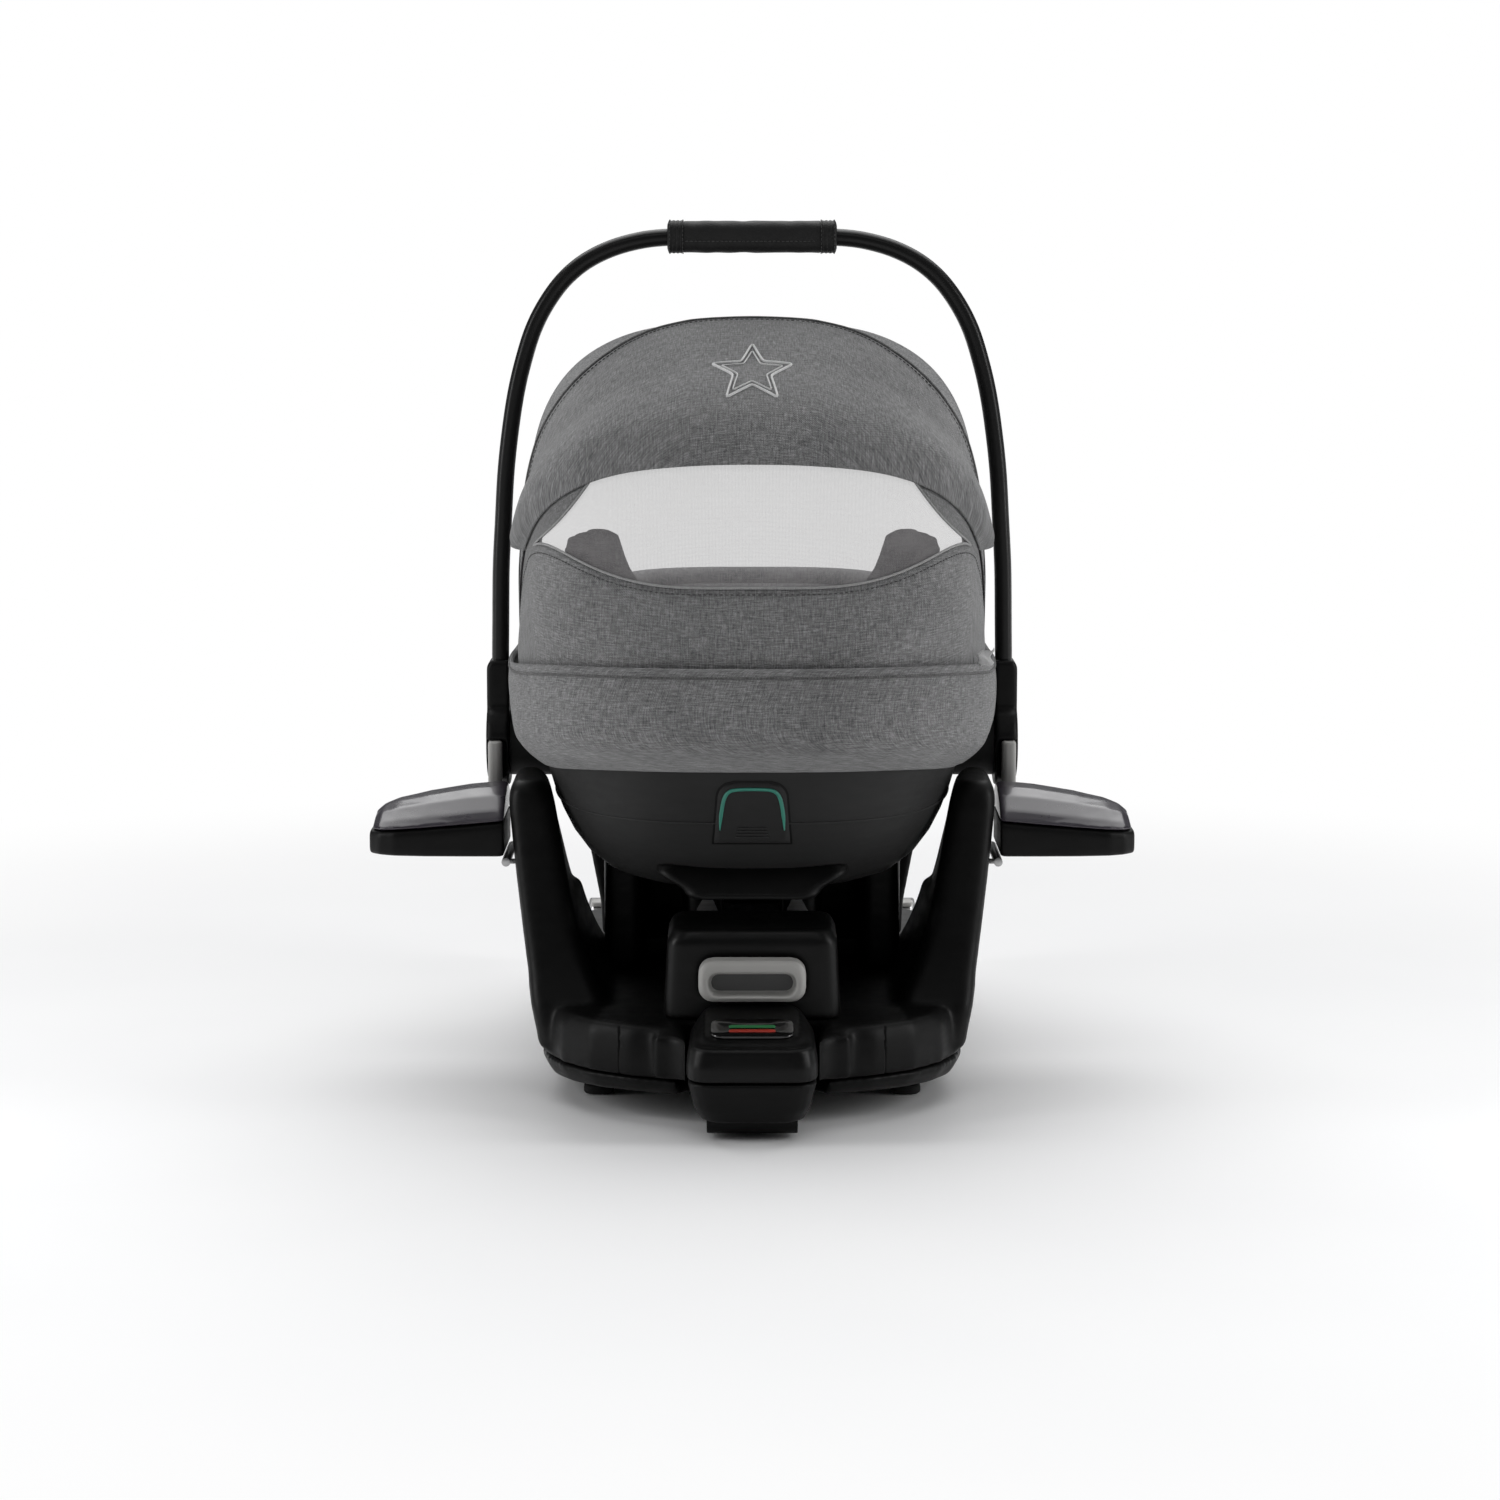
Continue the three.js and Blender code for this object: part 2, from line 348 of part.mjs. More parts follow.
pair("wing_hinge_pin", cylY(3.6, -138, -54, WING_PIVOT[0], WING_PIVOT[1], 16).add(box(189, 198.5, -136, -128, 181.5, 184.5)).add(box(189, 198.5, -64, -56, 181.5, 184.5)).subtract(loft([armRing(160), armRing(200)].map((r, i) => armRing(i ? 200 : 160, -0.4)))), "steel");
// ---- connector adjuster on the front deck ----
const deck = loft([[76.4, 0], [90, 0.5], [138, 3], [147, 8]].map(([z, k]) => rr(140 - 2 * k, 102 - 2 * k, 14, 4).map(([u, v]) => [u, -198 + v, z])));
const pull = loft([[-268, 3], [-265, 0], [-250, 0]].map(([y, k]) => rr(84 - 2 * k, 33 - 2 * k, 11, 4).map(([u, v]) => [u, y, 110.5 + v])));
const pocket = loft([[-270, 0], [-256, -2]].map(([y, k]) => rr(70 + 2 * k, 19 + 2 * k, 7, 3).map(([u, v]) => [u, y, 108 + v])));
const pullCut = loft([[-280, 0], [-245.5, 0]].map(([y]) => rr(85.2, 34.2, 11.5, 4).map(([u, v]) => [u, y, 110.5 + v])));
part("adjuster_housing", deck.subtract(pullCut), "base_plastic");
part("adjuster_pull", pull.subtract(pocket), "grey_button");
// ---- nose with the leg indicator ----
const noseUp = loft([nosePlan(56, -352, -251, 48.4), nosePlan(56, -352, -251, 60), nosePlan(53, -349, -251, 74), nosePlan(47, -343, -251, 84, 0.1), nosePlan(42, -338, -253, 91.5, 0.16)]);
const noseLow = loft([nosePlan(44, -341, -251, 15), nosePlan(50, -347, -251, 26), nosePlan(55.5, -351.5, -251, 47.6)]);
part("nose_cover", noseUp, "base_plastic");
part("nose_tray", noseLow.subtract(legChannel), "base_plastic");
const topZ = (y) => 91.9 + 0.16 * (y + 253);
const plate = (x0, x1, y0, y1, lift, th) => loft([0, 1].map((k) => rr(x1 - x0, y1 - y0, Math.min(10, (y1 - y0) / 2.2), 3).map(([u, v]) => { const y = (y0 + y1) / 2 + v; return [(x0 + x1) / 2 + u, y, topZ(y) + lift + k * th]; })));
part("indicator_window", plate(-32, 32, -332, -294, 0, 1.8), "window_plastic");
part("indicator_green", plate(-18, 18, -315, -310, 2.1, 0.7), "green_plastic");
part("indicator_red", plate(-18, 18, -324, -319, 2.1, 0.7), "red_plastic");
// ---- telescoping support leg, folded under the tray ----
const [LY, LZ] = LEG_PIVOT;
const knuckle = [];
for (let i = 0; i <= 8; i++) { const a = (90 + (180 * i) / 8) * DEG; knuckle.push([LY + 11 * Math.cos(a), LZ + 11 * Math.sin(a)]); }
const legProfile = [...knuckle, [-72, LZ - 11], [-70, LZ - 9], [-70, LZ + 9], [-72, LZ + 11]];
const legOuter = loft([[-35, 0.98], [-33, 1], [33, 1], [35, 0.98]].map(([x, k]) => legProfile.map(([y, z]) => [x, y, LZ + (z - LZ) * k])));
part("leg_outer_tube", legOuter.subtract(box(-25.5, 25.5, -297, -60, 5.8, 22.2)).subtract(box(-9.4, 9.4, -100.4, -83.6, 15, 30)), "base_plastic");
part("leg_inner_tube", slab(-25, 25, -292, -58.5, 6.3, 21.7, 3, 1, 2).subtract(box(-21, 21, -300, -62, 8.6, 19.4)), "steel");
part("leg_foot", slab(-40, 40, -58, -8, 3, 25, 10, 3), "rubber");
part("leg_height_button", slab(-9, 9, -100, -84, 23.4, 27.6, 4, 0.8), "grey_button");
// ---- anchor connectors ----
const isoArm = slab(127, 153, 60, 352, 42, 66, 3, 1.5, 2).subtract(box(120, 160, 328, 360, 50, 58));
pair("connector_arm", isoArm, "steel");
pair("connector_button", slab(131, 149, 296, 316, 66.4, 71, 4, 1), "grey_button");
// ---- docking posts and latch ----
const post = slab(92, 124, -40, 110, 76.4, 196, 8, 3);
const wallHalf = [[0, 156], [90, 156], [102, 160], [116, 167], [131, 175], [144, 190], [151, 200], [149, 190], [141, 150], [133, 108], [131, 76.4]];
const wallRing = [...wallHalf.slice(1).map(([x, z]) => [x, z]), ...wallHalf.slice(1).reverse().map(([x, z]) => [-x, z])];
const dockWall = loft([109, 123].map((y) => wallRing.map(([x, z]) => [x, y, z])));
part("dock_cradle", post.add(mirror(post)).add(slab(-100, 100, 0, 70, 76.4, 96, 6, 2)).add(dockWall).subtract(block(0.8)), "base_plastic");
part("dock_latch", slab(-58, 58, -70, -20, 76.4, 158.8, 10, 3).subtract(box(-24, 24, -80, 0, 128, 170)), "base_plastic");
pair("foot_pad", slab(112, 136, -180, 190, 0, 7.6, 8, 1.5), "rubber");
export default root;
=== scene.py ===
import math
import bpy
import bmesh
import numpy as np
from mathutils import Vector, Matrix


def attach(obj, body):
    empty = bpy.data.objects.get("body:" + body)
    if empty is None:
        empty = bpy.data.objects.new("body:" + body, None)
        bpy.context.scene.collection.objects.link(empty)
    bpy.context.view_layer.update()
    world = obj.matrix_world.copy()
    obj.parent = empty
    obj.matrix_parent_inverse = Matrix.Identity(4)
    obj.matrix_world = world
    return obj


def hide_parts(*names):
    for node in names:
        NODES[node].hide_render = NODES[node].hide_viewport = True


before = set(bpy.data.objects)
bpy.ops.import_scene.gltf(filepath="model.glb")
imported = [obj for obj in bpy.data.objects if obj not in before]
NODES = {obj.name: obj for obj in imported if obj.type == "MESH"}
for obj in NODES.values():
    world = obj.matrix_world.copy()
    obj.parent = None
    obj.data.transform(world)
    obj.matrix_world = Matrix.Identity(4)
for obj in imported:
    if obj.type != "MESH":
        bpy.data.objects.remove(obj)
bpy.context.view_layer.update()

scene = bpy.context.scene
MM = 0.001
rng = np.random.RandomState(7)
DEG = math.pi / 180

# ------------------------------------------------------------------ camera, light, floor
cam_data = bpy.data.cameras.new("camera")
cam = bpy.data.objects.new("camera", cam_data)
scene.collection.objects.link(cam)
cam.location = (-0.0017, -3.1689, 0.7009)
cam.rotation_euler = (82 * DEG, 0, 0)
cam_data.lens = 91
cam_data.sensor_width = 36
cam_data.clip_start, cam_data.clip_end = 0.05, 60
scene.camera = cam
scene.view_settings.view_transform = "Standard"
scene.view_settings.look = "None"
scene.view_settings.exposure = 0.0

world = bpy.data.worlds.new("studio")
scene.world = world
world.use_nodes = True
wn, wl = world.node_tree.nodes, world.node_tree.links
wn.clear()
wo = wn.new("ShaderNodeOutputWorld")
wb = wn.new("ShaderNodeBackground")
wc = wn.new("ShaderNodeBackground")
wm = wn.new("ShaderNodeMixShader")
lp = wn.new("ShaderNodeLightPath")
wb.inputs["Color"].default_value = (0.95, 0.97, 1.0, 1)
wb.inputs["Strength"].default_value = 0.10
wc.inputs["Color"].default_value = (1, 1, 1, 1)
wc.inputs["Strength"].default_value = 1.0
wl.new(lp.outputs["Is Camera Ray"], wm.inputs[0])
wl.new(wb.outputs[0], wm.inputs[1])
wl.new(wc.outputs[0], wm.inputs[2])
wl.new(wm.outputs[0], wo.inputs["Surface"])


def area(name, loc, aim, sx, sy, power, color=(1, 1, 1)):
    d = bpy.data.lights.new(name, "AREA")
    d.shape = "RECTANGLE"
    d.size, d.size_y, d.energy, d.color = sx, sy, power, color
    o = bpy.data.objects.new(name, d)
    o.location = loc
    o.rotation_euler = (Vector(aim) - Vector(loc)).to_track_quat("-Z", "Y").to_euler()
    scene.collection.objects.link(o)
    return o


sun_data = bpy.data.lights.new("soft_sky", "SUN")
sun_data.energy = 2.4
sun_data.angle = 72 * DEG
sun = bpy.data.objects.new("soft_sky", sun_data)
sun.rotation_euler = (-33 * DEG, 0, 0)
scene.collection.objects.link(sun)
area("side_left", (-2.1, -0.5, 1.0), (0, 0, 0.45), 0.5, 1.5, 18)
area("side_right", (2.1, -0.5, 1.0), (0, 0, 0.45), 0.5, 1.5, 18)
area("front", (0.0, -2.0, 3.0), (0, 0, 0.45), 2.2, 0.8, 9)


# ------------------------------------------------------------------ materials
def new_material(name, viewport=(0.3, 0.3, 0.3)):
    m = bpy.data.materials.new(name)
    m.use_nodes = True
    m.diffuse_color = (*viewport, 1)
    nt = m.node_tree
    bsdf = nt.nodes["Principled BSDF"]
    return m, nt.nodes, nt.links, bsdf


def noise(n, l, vec, scale, detail=2.0, rough=0.5):
    t = n.new("ShaderNodeTexNoise")
    t.inputs["Scale"].default_value = scale
    t.inputs["Detail"].default_value = detail
    t.inputs["Roughness"].default_value = rough
    if vec is not None:
        l.new(vec, t.inputs["Vector"])
    return t.outputs["Fac"]


def mapping(n, l, vec, scale=(1, 1, 1), loc=(0, 0, 0)):
    m = n.new("ShaderNodeMapping")
    m.inputs["Scale"].default_value = scale
    m.inputs["Location"].default_value = loc
    l.new(vec, m.inputs["Vector"])
    return m.outputs[0]


def ramp(n, l, fac, stops):
    r = n.new("ShaderNodeValToRGB")
    e = r.color_ramp.elements
    e[0].position, e[0].color = stops[0][0], (*stops[0][1], 1)
    e[1].position, e[1].color = stops[-1][0], (*stops[-1][1], 1)
    for p, c in stops[1:-1]:
        k = e.new(p)
        k.color = (*c, 1)
    l.new(fac, r.inputs[0])
    return r.outputs["Color"]


def math_node(n, l, op, a, b=None, clamp=False):
    m = n.new("ShaderNodeMath")
    m.operation = op
    m.use_clamp = clamp
    for i, v in enumerate((a, b)):
        if v is None:
            continue
        if isinstance(v, (int, float)):
            m.inputs[i].default_value = v
        else:
            l.new(v, m.inputs[i])
    return m.outputs[0]


def grey(v, warm=0.0):
    return (v * (1 + warm), v, v * (1 - warm))


def plastic(name, low, high, rough, grain=0.0002, grain_scale=2600, strength=0.25, coat=0.0, spec=0.5, rough_span=0.07, edge_highlight=1.25):
    m, n, l, b = new_material(name, high)
    tc = n.new("ShaderNodeTexCoord").outputs["Object"]
    broad = noise(n, l, tc, 9, 3)
    fine = noise(n, l, tc, grain_scale, 2, 0.6)
    smear = noise(n, l, mapping(n, l, tc, (1, 1, 3.5)), 34, 4, 0.62)
    g = n.new("ShaderNodeNewGeometry")
    # convex edges, found by pointiness, are mixed towards a lighter colour: a painted edge highlight
    edge = math_node(n, l, "MULTIPLY", math_node(n, l, "SUBTRACT", g.outputs["Pointiness"], 0.515, True), 7.0, True)
    base = ramp(n, l, broad, [(0.3, low), (0.72, high)])
    mix = n.new("ShaderNodeMix")
    mix.data_type = "RGBA"
    mix.inputs["B"].default_value = (*[min(1, c * edge_highlight + 0.004) for c in high], 1)
    l.new(edge, mix.inputs["Factor"])
    l.new(base, mix.inputs["A"])
    l.new(mix.outputs["Result"], b.inputs["Base Color"])
    rr = n.new("ShaderNodeMapRange")
    rr.inputs["From Min"].default_value, rr.inputs["From Max"].default_value = 0.3, 0.7
    rr.inputs["To Min"].default_value, rr.inputs["To Max"].default_value = rough - rough_span, rough + rough_span
    l.new(smear, rr.inputs["Value"])
    l.new(rr.outputs["Result"], b.inputs["Roughness"])
    bump = n.new("ShaderNodeBump")
    bump.inputs["Strength"].default_value = strength
    bump.inputs["Distance"].default_value = grain
    l.new(fine, bump.inputs["Height"])
    l.new(bump.outputs[0], b.inputs["Normal"])
    b.inputs["Coat Weight"].default_value = coat
    b.inputs["Coat Roughness"].default_value = 0.08
    b.inputs["Specular IOR Level"].default_value = spec
    return m


def melange(name, dark, mid, light, thread=0.00105, slub=0.0105, bump_d=0.00035, tint=(0, 0, 0)):
    """Heathered woven cloth: short light and dark slubs along warp and weft, over a fine plain weave."""
    m, n, l, b = new_material(name, (mid,) * 3)
    at = n.new("ShaderNodeAttribute")
    at.attribute_name = "cloth"
    v = at.outputs["Vector"]
    warp = noise(n, l, mapping(n, l, v, (1 / thread, 1 / slub, 1)), 1.0, 2.5, 0.65)
    weft = noise(n, l, mapping(n, l, v, (1 / slub, 1 / thread, 1), (31.7, 11.3, 5.1)), 1.0, 2.5, 0.65)
    knot = noise(n, l, mapping(n, l, v, (1 / (thread * 1.6), 1 / (thread * 1.6), 1), (3.1, 71.3, 2)), 1.0, 1.5, 0.5)
    cloud = noise(n, l, mapping(n, l, v, (14, 14, 14)), 1.0, 3, 0.55)
    s = math_node(n, l, "ADD", math_node(n, l, "MULTIPLY", warp, 0.42), math_node(n, l, "MULTIPLY", weft, 0.42))
    s = math_node(n, l, "ADD", s, math_node(n, l, "MULTIPLY", knot, 0.16))
    s = math_node(n, l, "ADD", s, math_node(n, l, "MULTIPLY", math_node(n, l, "SUBTRACT", cloud, 0.5), 0.10))
    cd = tuple(dark + t for t in tint)
    cm = tuple(mid + t for t in tint)
    cl = tuple(light + t for t in tint)
    col = ramp(n, l, s, [(0.36, cd), (0.5, cm), (0.64, cl)])
    l.new(col, b.inputs["Base Color"])
    sep = n.new("ShaderNodeSeparateXYZ")
    l.new(v, sep.inputs[0])
    k = math.pi / thread
    wx = math_node(n, l, "SINE", math_node(n, l, "MULTIPLY", sep.outputs[0], k))
    wy = math_node(n, l, "SINE", math_node(n, l, "MULTIPLY", sep.outputs[1], k))
    h = math_node(n, l, "ADD", math_node(n, l, "MULTIPLY", wx, wy), math_node(n, l, "MULTIPLY", s, 3.0))
    bump = n.new("ShaderNodeBump")
    bump.inputs["Strength"].default_value = 0.55
    bump.inputs["Distance"].default_value = bump_d
    l.new(h, bump.inputs["Height"])
    l.new(bump.outputs[0], b.inputs["Normal"])
    b.inputs["Roughness"].default_value = 0.92
    b.inputs["Sheen Weight"].default_value = 0.22
    b.inputs["Sheen Roughness"].default_value = 0.45
    b.inputs["Specular IOR Level"].default_value = 0.18
    return m


def ribbed_web(name, low, high):
    m, n, l, b = new_material(name, high)
    at = n.new("ShaderNodeAttribute")
    at.attribute_name = "cloth"
    sep = n.new("ShaderNodeSeparateXYZ")
    l.new(at.outputs["Vector"], sep.inputs[0])
    a = math_node(n, l, "SINE", math_node(n, l, "MULTIPLY", sep.outputs[0], 2 * math.pi / 0.0024))
    c = math_node(n, l, "SINE", math_node(n, l, "MULTIPLY", sep.outputs[1], 2 * math.pi / 0.0016))
    h = math_node(n, l, "ADD", a, math_node(n, l, "MULTIPLY", c, 0.6))
    nz = noise(n, l, mapping(n, l, at.outputs["Vector"], (400, 90, 1)), 1.0, 2)
    l.new(ramp(n, l, nz, [(0.35, low), (0.7, high)]), b.inputs["Base Color"])
    bump = n.new("ShaderNodeBump")
    bump.inputs["Strength"].default_value = 0.6
    bump.inputs["Distance"].default_value = 0.0004
    l.new(h, bump.inputs["Height"])
    l.new(bump.outputs[0], b.inputs["Normal"])
    b.inputs["Roughness"].default_value = 0.72
    b.inputs["Sheen Weight"].default_value = 0.15
    return m


def leather(name, low, high):
    m, n, l, b = new_material(name, high)
    tc = n.new("ShaderNodeTexCoord").outputs["Object"]
    vo = n.new("ShaderNodeTexVoronoi")
    vo.inputs["Scale"].default_value = 620
    warp = noise(n, l, tc, 240, 2)
    l.new(tc, vo.inputs["Vector"])
    vo.feature = "DISTANCE_TO_EDGE"
    crack = math_node(n, l, "MULTIPLY", vo.outputs["Distance"], 2.2, True)
    h = math_node(n, l, "ADD", crack, math_node(n, l, "MULTIPLY", warp, 0.5))
    broad = noise(n, l, tc, 26, 4)
    l.new(ramp(n, l, broad, [(0.3, low), (0.7, high)]), b.inputs["Base Color"])
    bump = n.new("ShaderNodeBump")
    bump.inputs["Strength"].default_value = 0.5
    bump.inputs["Distance"].default_value = 0.0004
    l.new(h, bump.inputs["Height"])
    l.new(bump.outputs[0], b.inputs["Normal"])
    rr = n.new("ShaderNodeMapRange")
    rr.inputs["To Min"].default_value, rr.inputs["To Max"].default_value = 0.42, 0.62
    l.new(broad, rr.inputs["Value"])
    l.new(rr.outputs["Result"], b.inputs["Roughness"])
    b.inputs["Specular IOR Level"].default_value = 0.28
    return m


def metal(name, low, high, rough, stretch=(2, 60, 60), metallic=1.0):
    m, n, l, b = new_material(name, high)
    tc = n.new("ShaderNodeTexCoord").outputs["Object"]
    br = noise(n, l, mapping(n, l, tc, stretch), 22, 3, 0.6)
    l.new(ramp(n, l, br, [(0.3, low), (0.7, high)]), b.inputs["Base Color"])
    rr = n.new("ShaderNodeMapRange")
    rr.inputs["To Min"].default_value, rr.inputs["To Max"].default_value = rough - 0.08, rough + 0.1
    l.new(br, rr.inputs["Value"])
    l.new(rr.outputs["Result"], b.inputs["Roughness"])
    bump = n.new("ShaderNodeBump")
    bump.inputs["Strength"].default_value = 0.15
    bump.inputs["Distance"].default_value = 0.0001
    l.new(br, bump.inputs["Height"])
    l.new(bump.outputs[0], b.inputs["Normal"])
    b.inputs["Metallic"].default_value = metallic
    return m


def window_mesh(name):
    m, n, l, b = new_material(name, (0.7, 0.69, 0.7))
    at = n.new("ShaderNodeAttribute")
    at.attribute_name = "cloth"
    sep = n.new("ShaderNodeSeparateXYZ")
    l.new(at.outputs["Vector"], sep.inputs[0])
    k = 2 * math.pi / 0.0011
    wx = math_node(n, l, "SINE", math_node(n, l, "MULTIPLY", sep.outputs[0], k))
    wy = math_node(n, l, "SINE", math_node(n, l, "MULTIPLY", sep.outputs[1], k))
    thread = math_node(n, l, "MAXIMUM", wx, wy)
    cloud = noise(n, l, mapping(n, l, at.outputs["Vector"], (1, 1.6, 1)), 26, 3, 0.6)
    l.new(ramp(n, l, cloud, [(0.3, (0.30, 0.29, 0.295)), (0.7, (0.38, 0.365, 0.37))]), b.inputs["Base Color"])
    a = math_node(n, l, "ADD", math_node(n, l, "MULTIPLY", thread, 0.10), math_node(n, l, "MULTIPLY", cloud, 0.10))
    l.new(math_node(n, l, "ADD", a, 0.36, True), b.inputs["Alpha"])
    bump = n.new("ShaderNodeBump")
    bump.inputs["Strength"].default_value = 0.3
    bump.inputs["Distance"].default_value = 0.0002
    l.new(thread, bump.inputs["Height"])
    l.new(bump.outputs[0], b.inputs["Normal"])
    b.inputs["Roughness"].default_value = 0.85
    b.inputs["Specular IOR Level"].default_value = 0.1
    b.inputs["Sheen Weight"].default_value = 0.3
    return m


MAT = {
    "shell_plastic": plastic("shell_plastic", grey(0.017), grey(0.023), 0.58, strength=0.35, spec=0.2),
    "base_plastic": plastic("base_plastic", grey(0.0022), grey(0.0038), 0.44, strength=0.25, spec=0.15),
    "cover_plastic": plastic("cover_plastic", grey(0.0028), grey(0.0045), 0.36, strength=0.2, spec=0.18),
    "gloss_plastic": plastic("gloss_plastic", (0.022, 0.018, 0.026), (0.034, 0.029, 0.039), 0.3, strength=0.06, coat=0.3, rough_span=0.05),
    "window_plastic": plastic("window_plastic", grey(0.0018), grey(0.0028), 0.13, strength=0.03, coat=0.8, rough_span=0.03),
    "grey_button": plastic("grey_button", (0.36, 0.355, 0.34), (0.43, 0.425, 0.41), 0.46, strength=0.2, edge_highlight=1.05),
    "pocket_grey": plastic("pocket_grey", grey(0.055), grey(0.075), 0.55, strength=0.2, edge_highlight=1.0),
    "red_plastic": plastic("red_plastic", (0.34, 0.022, 0.012), (0.46, 0.035, 0.018), 0.35, strength=0.1),
    "green_plastic": plastic("green_plastic", (0.02, 0.16, 0.05), (0.03, 0.24, 0.075), 0.35, strength=0.1),
    "teal_plastic": plastic("teal_plastic", (0.022, 0.17, 0.125), (0.034, 0.23, 0.17), 0.4, strength=0.1),
    "rubber": plastic("rubber", grey(0.008), grey(0.014), 0.78, grain=0.0004, grain_scale=900, strength=0.5, spec=0.3),
    "foam": plastic("foam", grey(0.02), grey(0.03), 0.95, grain=0.0012, grain_scale=260, strength=0.9, spec=0.1),
    "tube_black": plastic("tube_black", grey(0.0035), grey(0.005), 0.36, strength=0.12, rough_span=0.05, spec=0.24),
    "melange": melange("melange", 0.076, 0.185, 0.345, tint=(0, 0.0005, 0.002)),
    "melange_light": melange("melange_light", 0.092, 0.215, 0.385, tint=(0, 0.0005, 0.003)),
    "melange_dark": melange("melange_dark", 0.042, 0.10, 0.20),
    "piping": melange("piping", 0.22, 0.32, 0.44, thread=0.0008, slub=0.004),
    "seam_thread": melange("seam_thread", 0.02, 0.035, 0.06, thread=0.0006, slub=0.003),
    "emblem_thread": melange("emblem_thread", 0.62, 0.78, 0.88, thread=0.0007, slub=0.004),
    "label_cloth": melange("label_cloth", 0.6, 0.72, 0.82, thread=0.0006, slub=0.002),
    "mesh_fabric": window_mesh("mesh_fabric"),
    "webbing": ribbed_web("webbing", grey(0.012), grey(0.026)),
    "leather": leather("leather", grey(0.005), grey(0.009)),
    "steel": metal("steel", grey(0.34), grey(0.5), 0.34),
}


def give(o, mat):
    o.data.materials.clear()
    o.data.materials.append(MAT[mat])
    return o


# ------------------------------------------------------------------ mesh helpers (input in millimetres)
def cloth_attr(o, uv):
    a = o.data.attributes.get("cloth") or o.data.attributes.new("cloth", "FLOAT_VECTOR", "POINT")
    v = np.zeros((len(o.data.vertices), 3), np.float32)
    v[:, :2] = uv
    a.data.foreach_set("vector", v.ravel())
    return o


def planar_cloth(o, mode="top"):
    co = np.array([v.co for v in o.data.vertices], float).reshape(-1, 3)
    if mode == "top":
        uv = np.stack([co[:, 0], co[:, 1] + 0.75 * co[:, 2]], 1)
    elif mode == "tube":
        uv = np.stack([co[:, 0] + 0.8 * co[:, 1], co[:, 2] + 0.4 * co[:, 1]], 1)
    else:
        uv = np.stack([co[:, 0] + 0.5 * co[:, 1], co[:, 2]], 1)
    return cloth_attr(o, uv)


def mesh_from(name, verts, faces, mat, smooth=True):
    me = bpy.data.meshes.new(name)
    me.from_pydata([tuple(v) for v in verts], [], faces)
    me.validate()
    me.update()
    if smooth:
        me.shade_smooth()
    o = bpy.data.objects.new(name, me)
    scene.collection.objects.link(o)
    return give(o, mat)


def arc(P, axis):
    d = np.linalg.norm(np.diff(P, axis=axis), axis=2)
    c = np.cumsum(d, axis=axis)
    z = np.zeros_like(np.take(c, [0], axis=axis))
    return np.concatenate([z, c], axis=axis)


def grid(name, P, mat, wrap=False, skip=None, thick=0.0, offset=-1.0, uv_shift=(0, 0), flip=False):
    """A smooth sheet through an n by m grid of points in millimetres. skip(i, j) leaves a cell out."""
    P = np.asarray(P, float) * MM
    n, m = P.shape[:2]
    Q = np.concatenate([P, P[:1]], 0) if wrap else P
    U, V = arc(Q, 0)[:n], arc(P, 1)
    U = U - U[n // 2:n // 2 + 1] if not wrap else U
    faces = []
    for i in range(n if wrap else n - 1):
        k = (i + 1) % n
        for j in range(m - 1):
            if skip and skip(i, j):
                continue
            f = (i * m + j, k * m + j, k * m + j + 1, i * m + j + 1)
            faces.append(f[::-1] if flip else f)
    o = mesh_from(name, P.reshape(-1, 3), faces, mat)
    cloth_attr(o, np.stack([U.ravel() + uv_shift[0], V.ravel() + uv_shift[1]], 1))
    if skip:
        bm = bmesh.new()
        bm.from_mesh(o.data)
        loose = [v for v in bm.verts if not v.link_faces]
        bmesh.ops.delete(bm, geom=loose, context="VERTS")
        bm.to_mesh(o.data)
        bm.free()
        o.data.shade_smooth()
    if thick:
        md = o.modifiers.new("thickness", "SOLIDIFY")
        md.thickness = thick * MM
        md.offset = offset
        md.use_even_offset = False
        md.use_quality_normals = True
    return o


def face_out(o, centre):
    """Turns the sheet's faces away from centre (metres)."""
    bm = bmesh.new()
    bm.from_mesh(o.data)
    s = sum((f.calc_center_median() - Vector(centre)).dot(f.normal) * f.calc_area() for f in bm.faces)
    if s < 0:
        bmesh.ops.reverse_faces(bm, faces=bm.faces)
        bm.to_mesh(o.data)
    bm.free()
    return o


def outward(o):
    """Gives a closed mesh outward faces."""
    bm = bmesh.new()
    bm.from_mesh(o.data)
    bmesh.ops.recalc_face_normals(bm, faces=bm.faces)
    bm.to_mesh(o.data)
    bm.free()
    return o


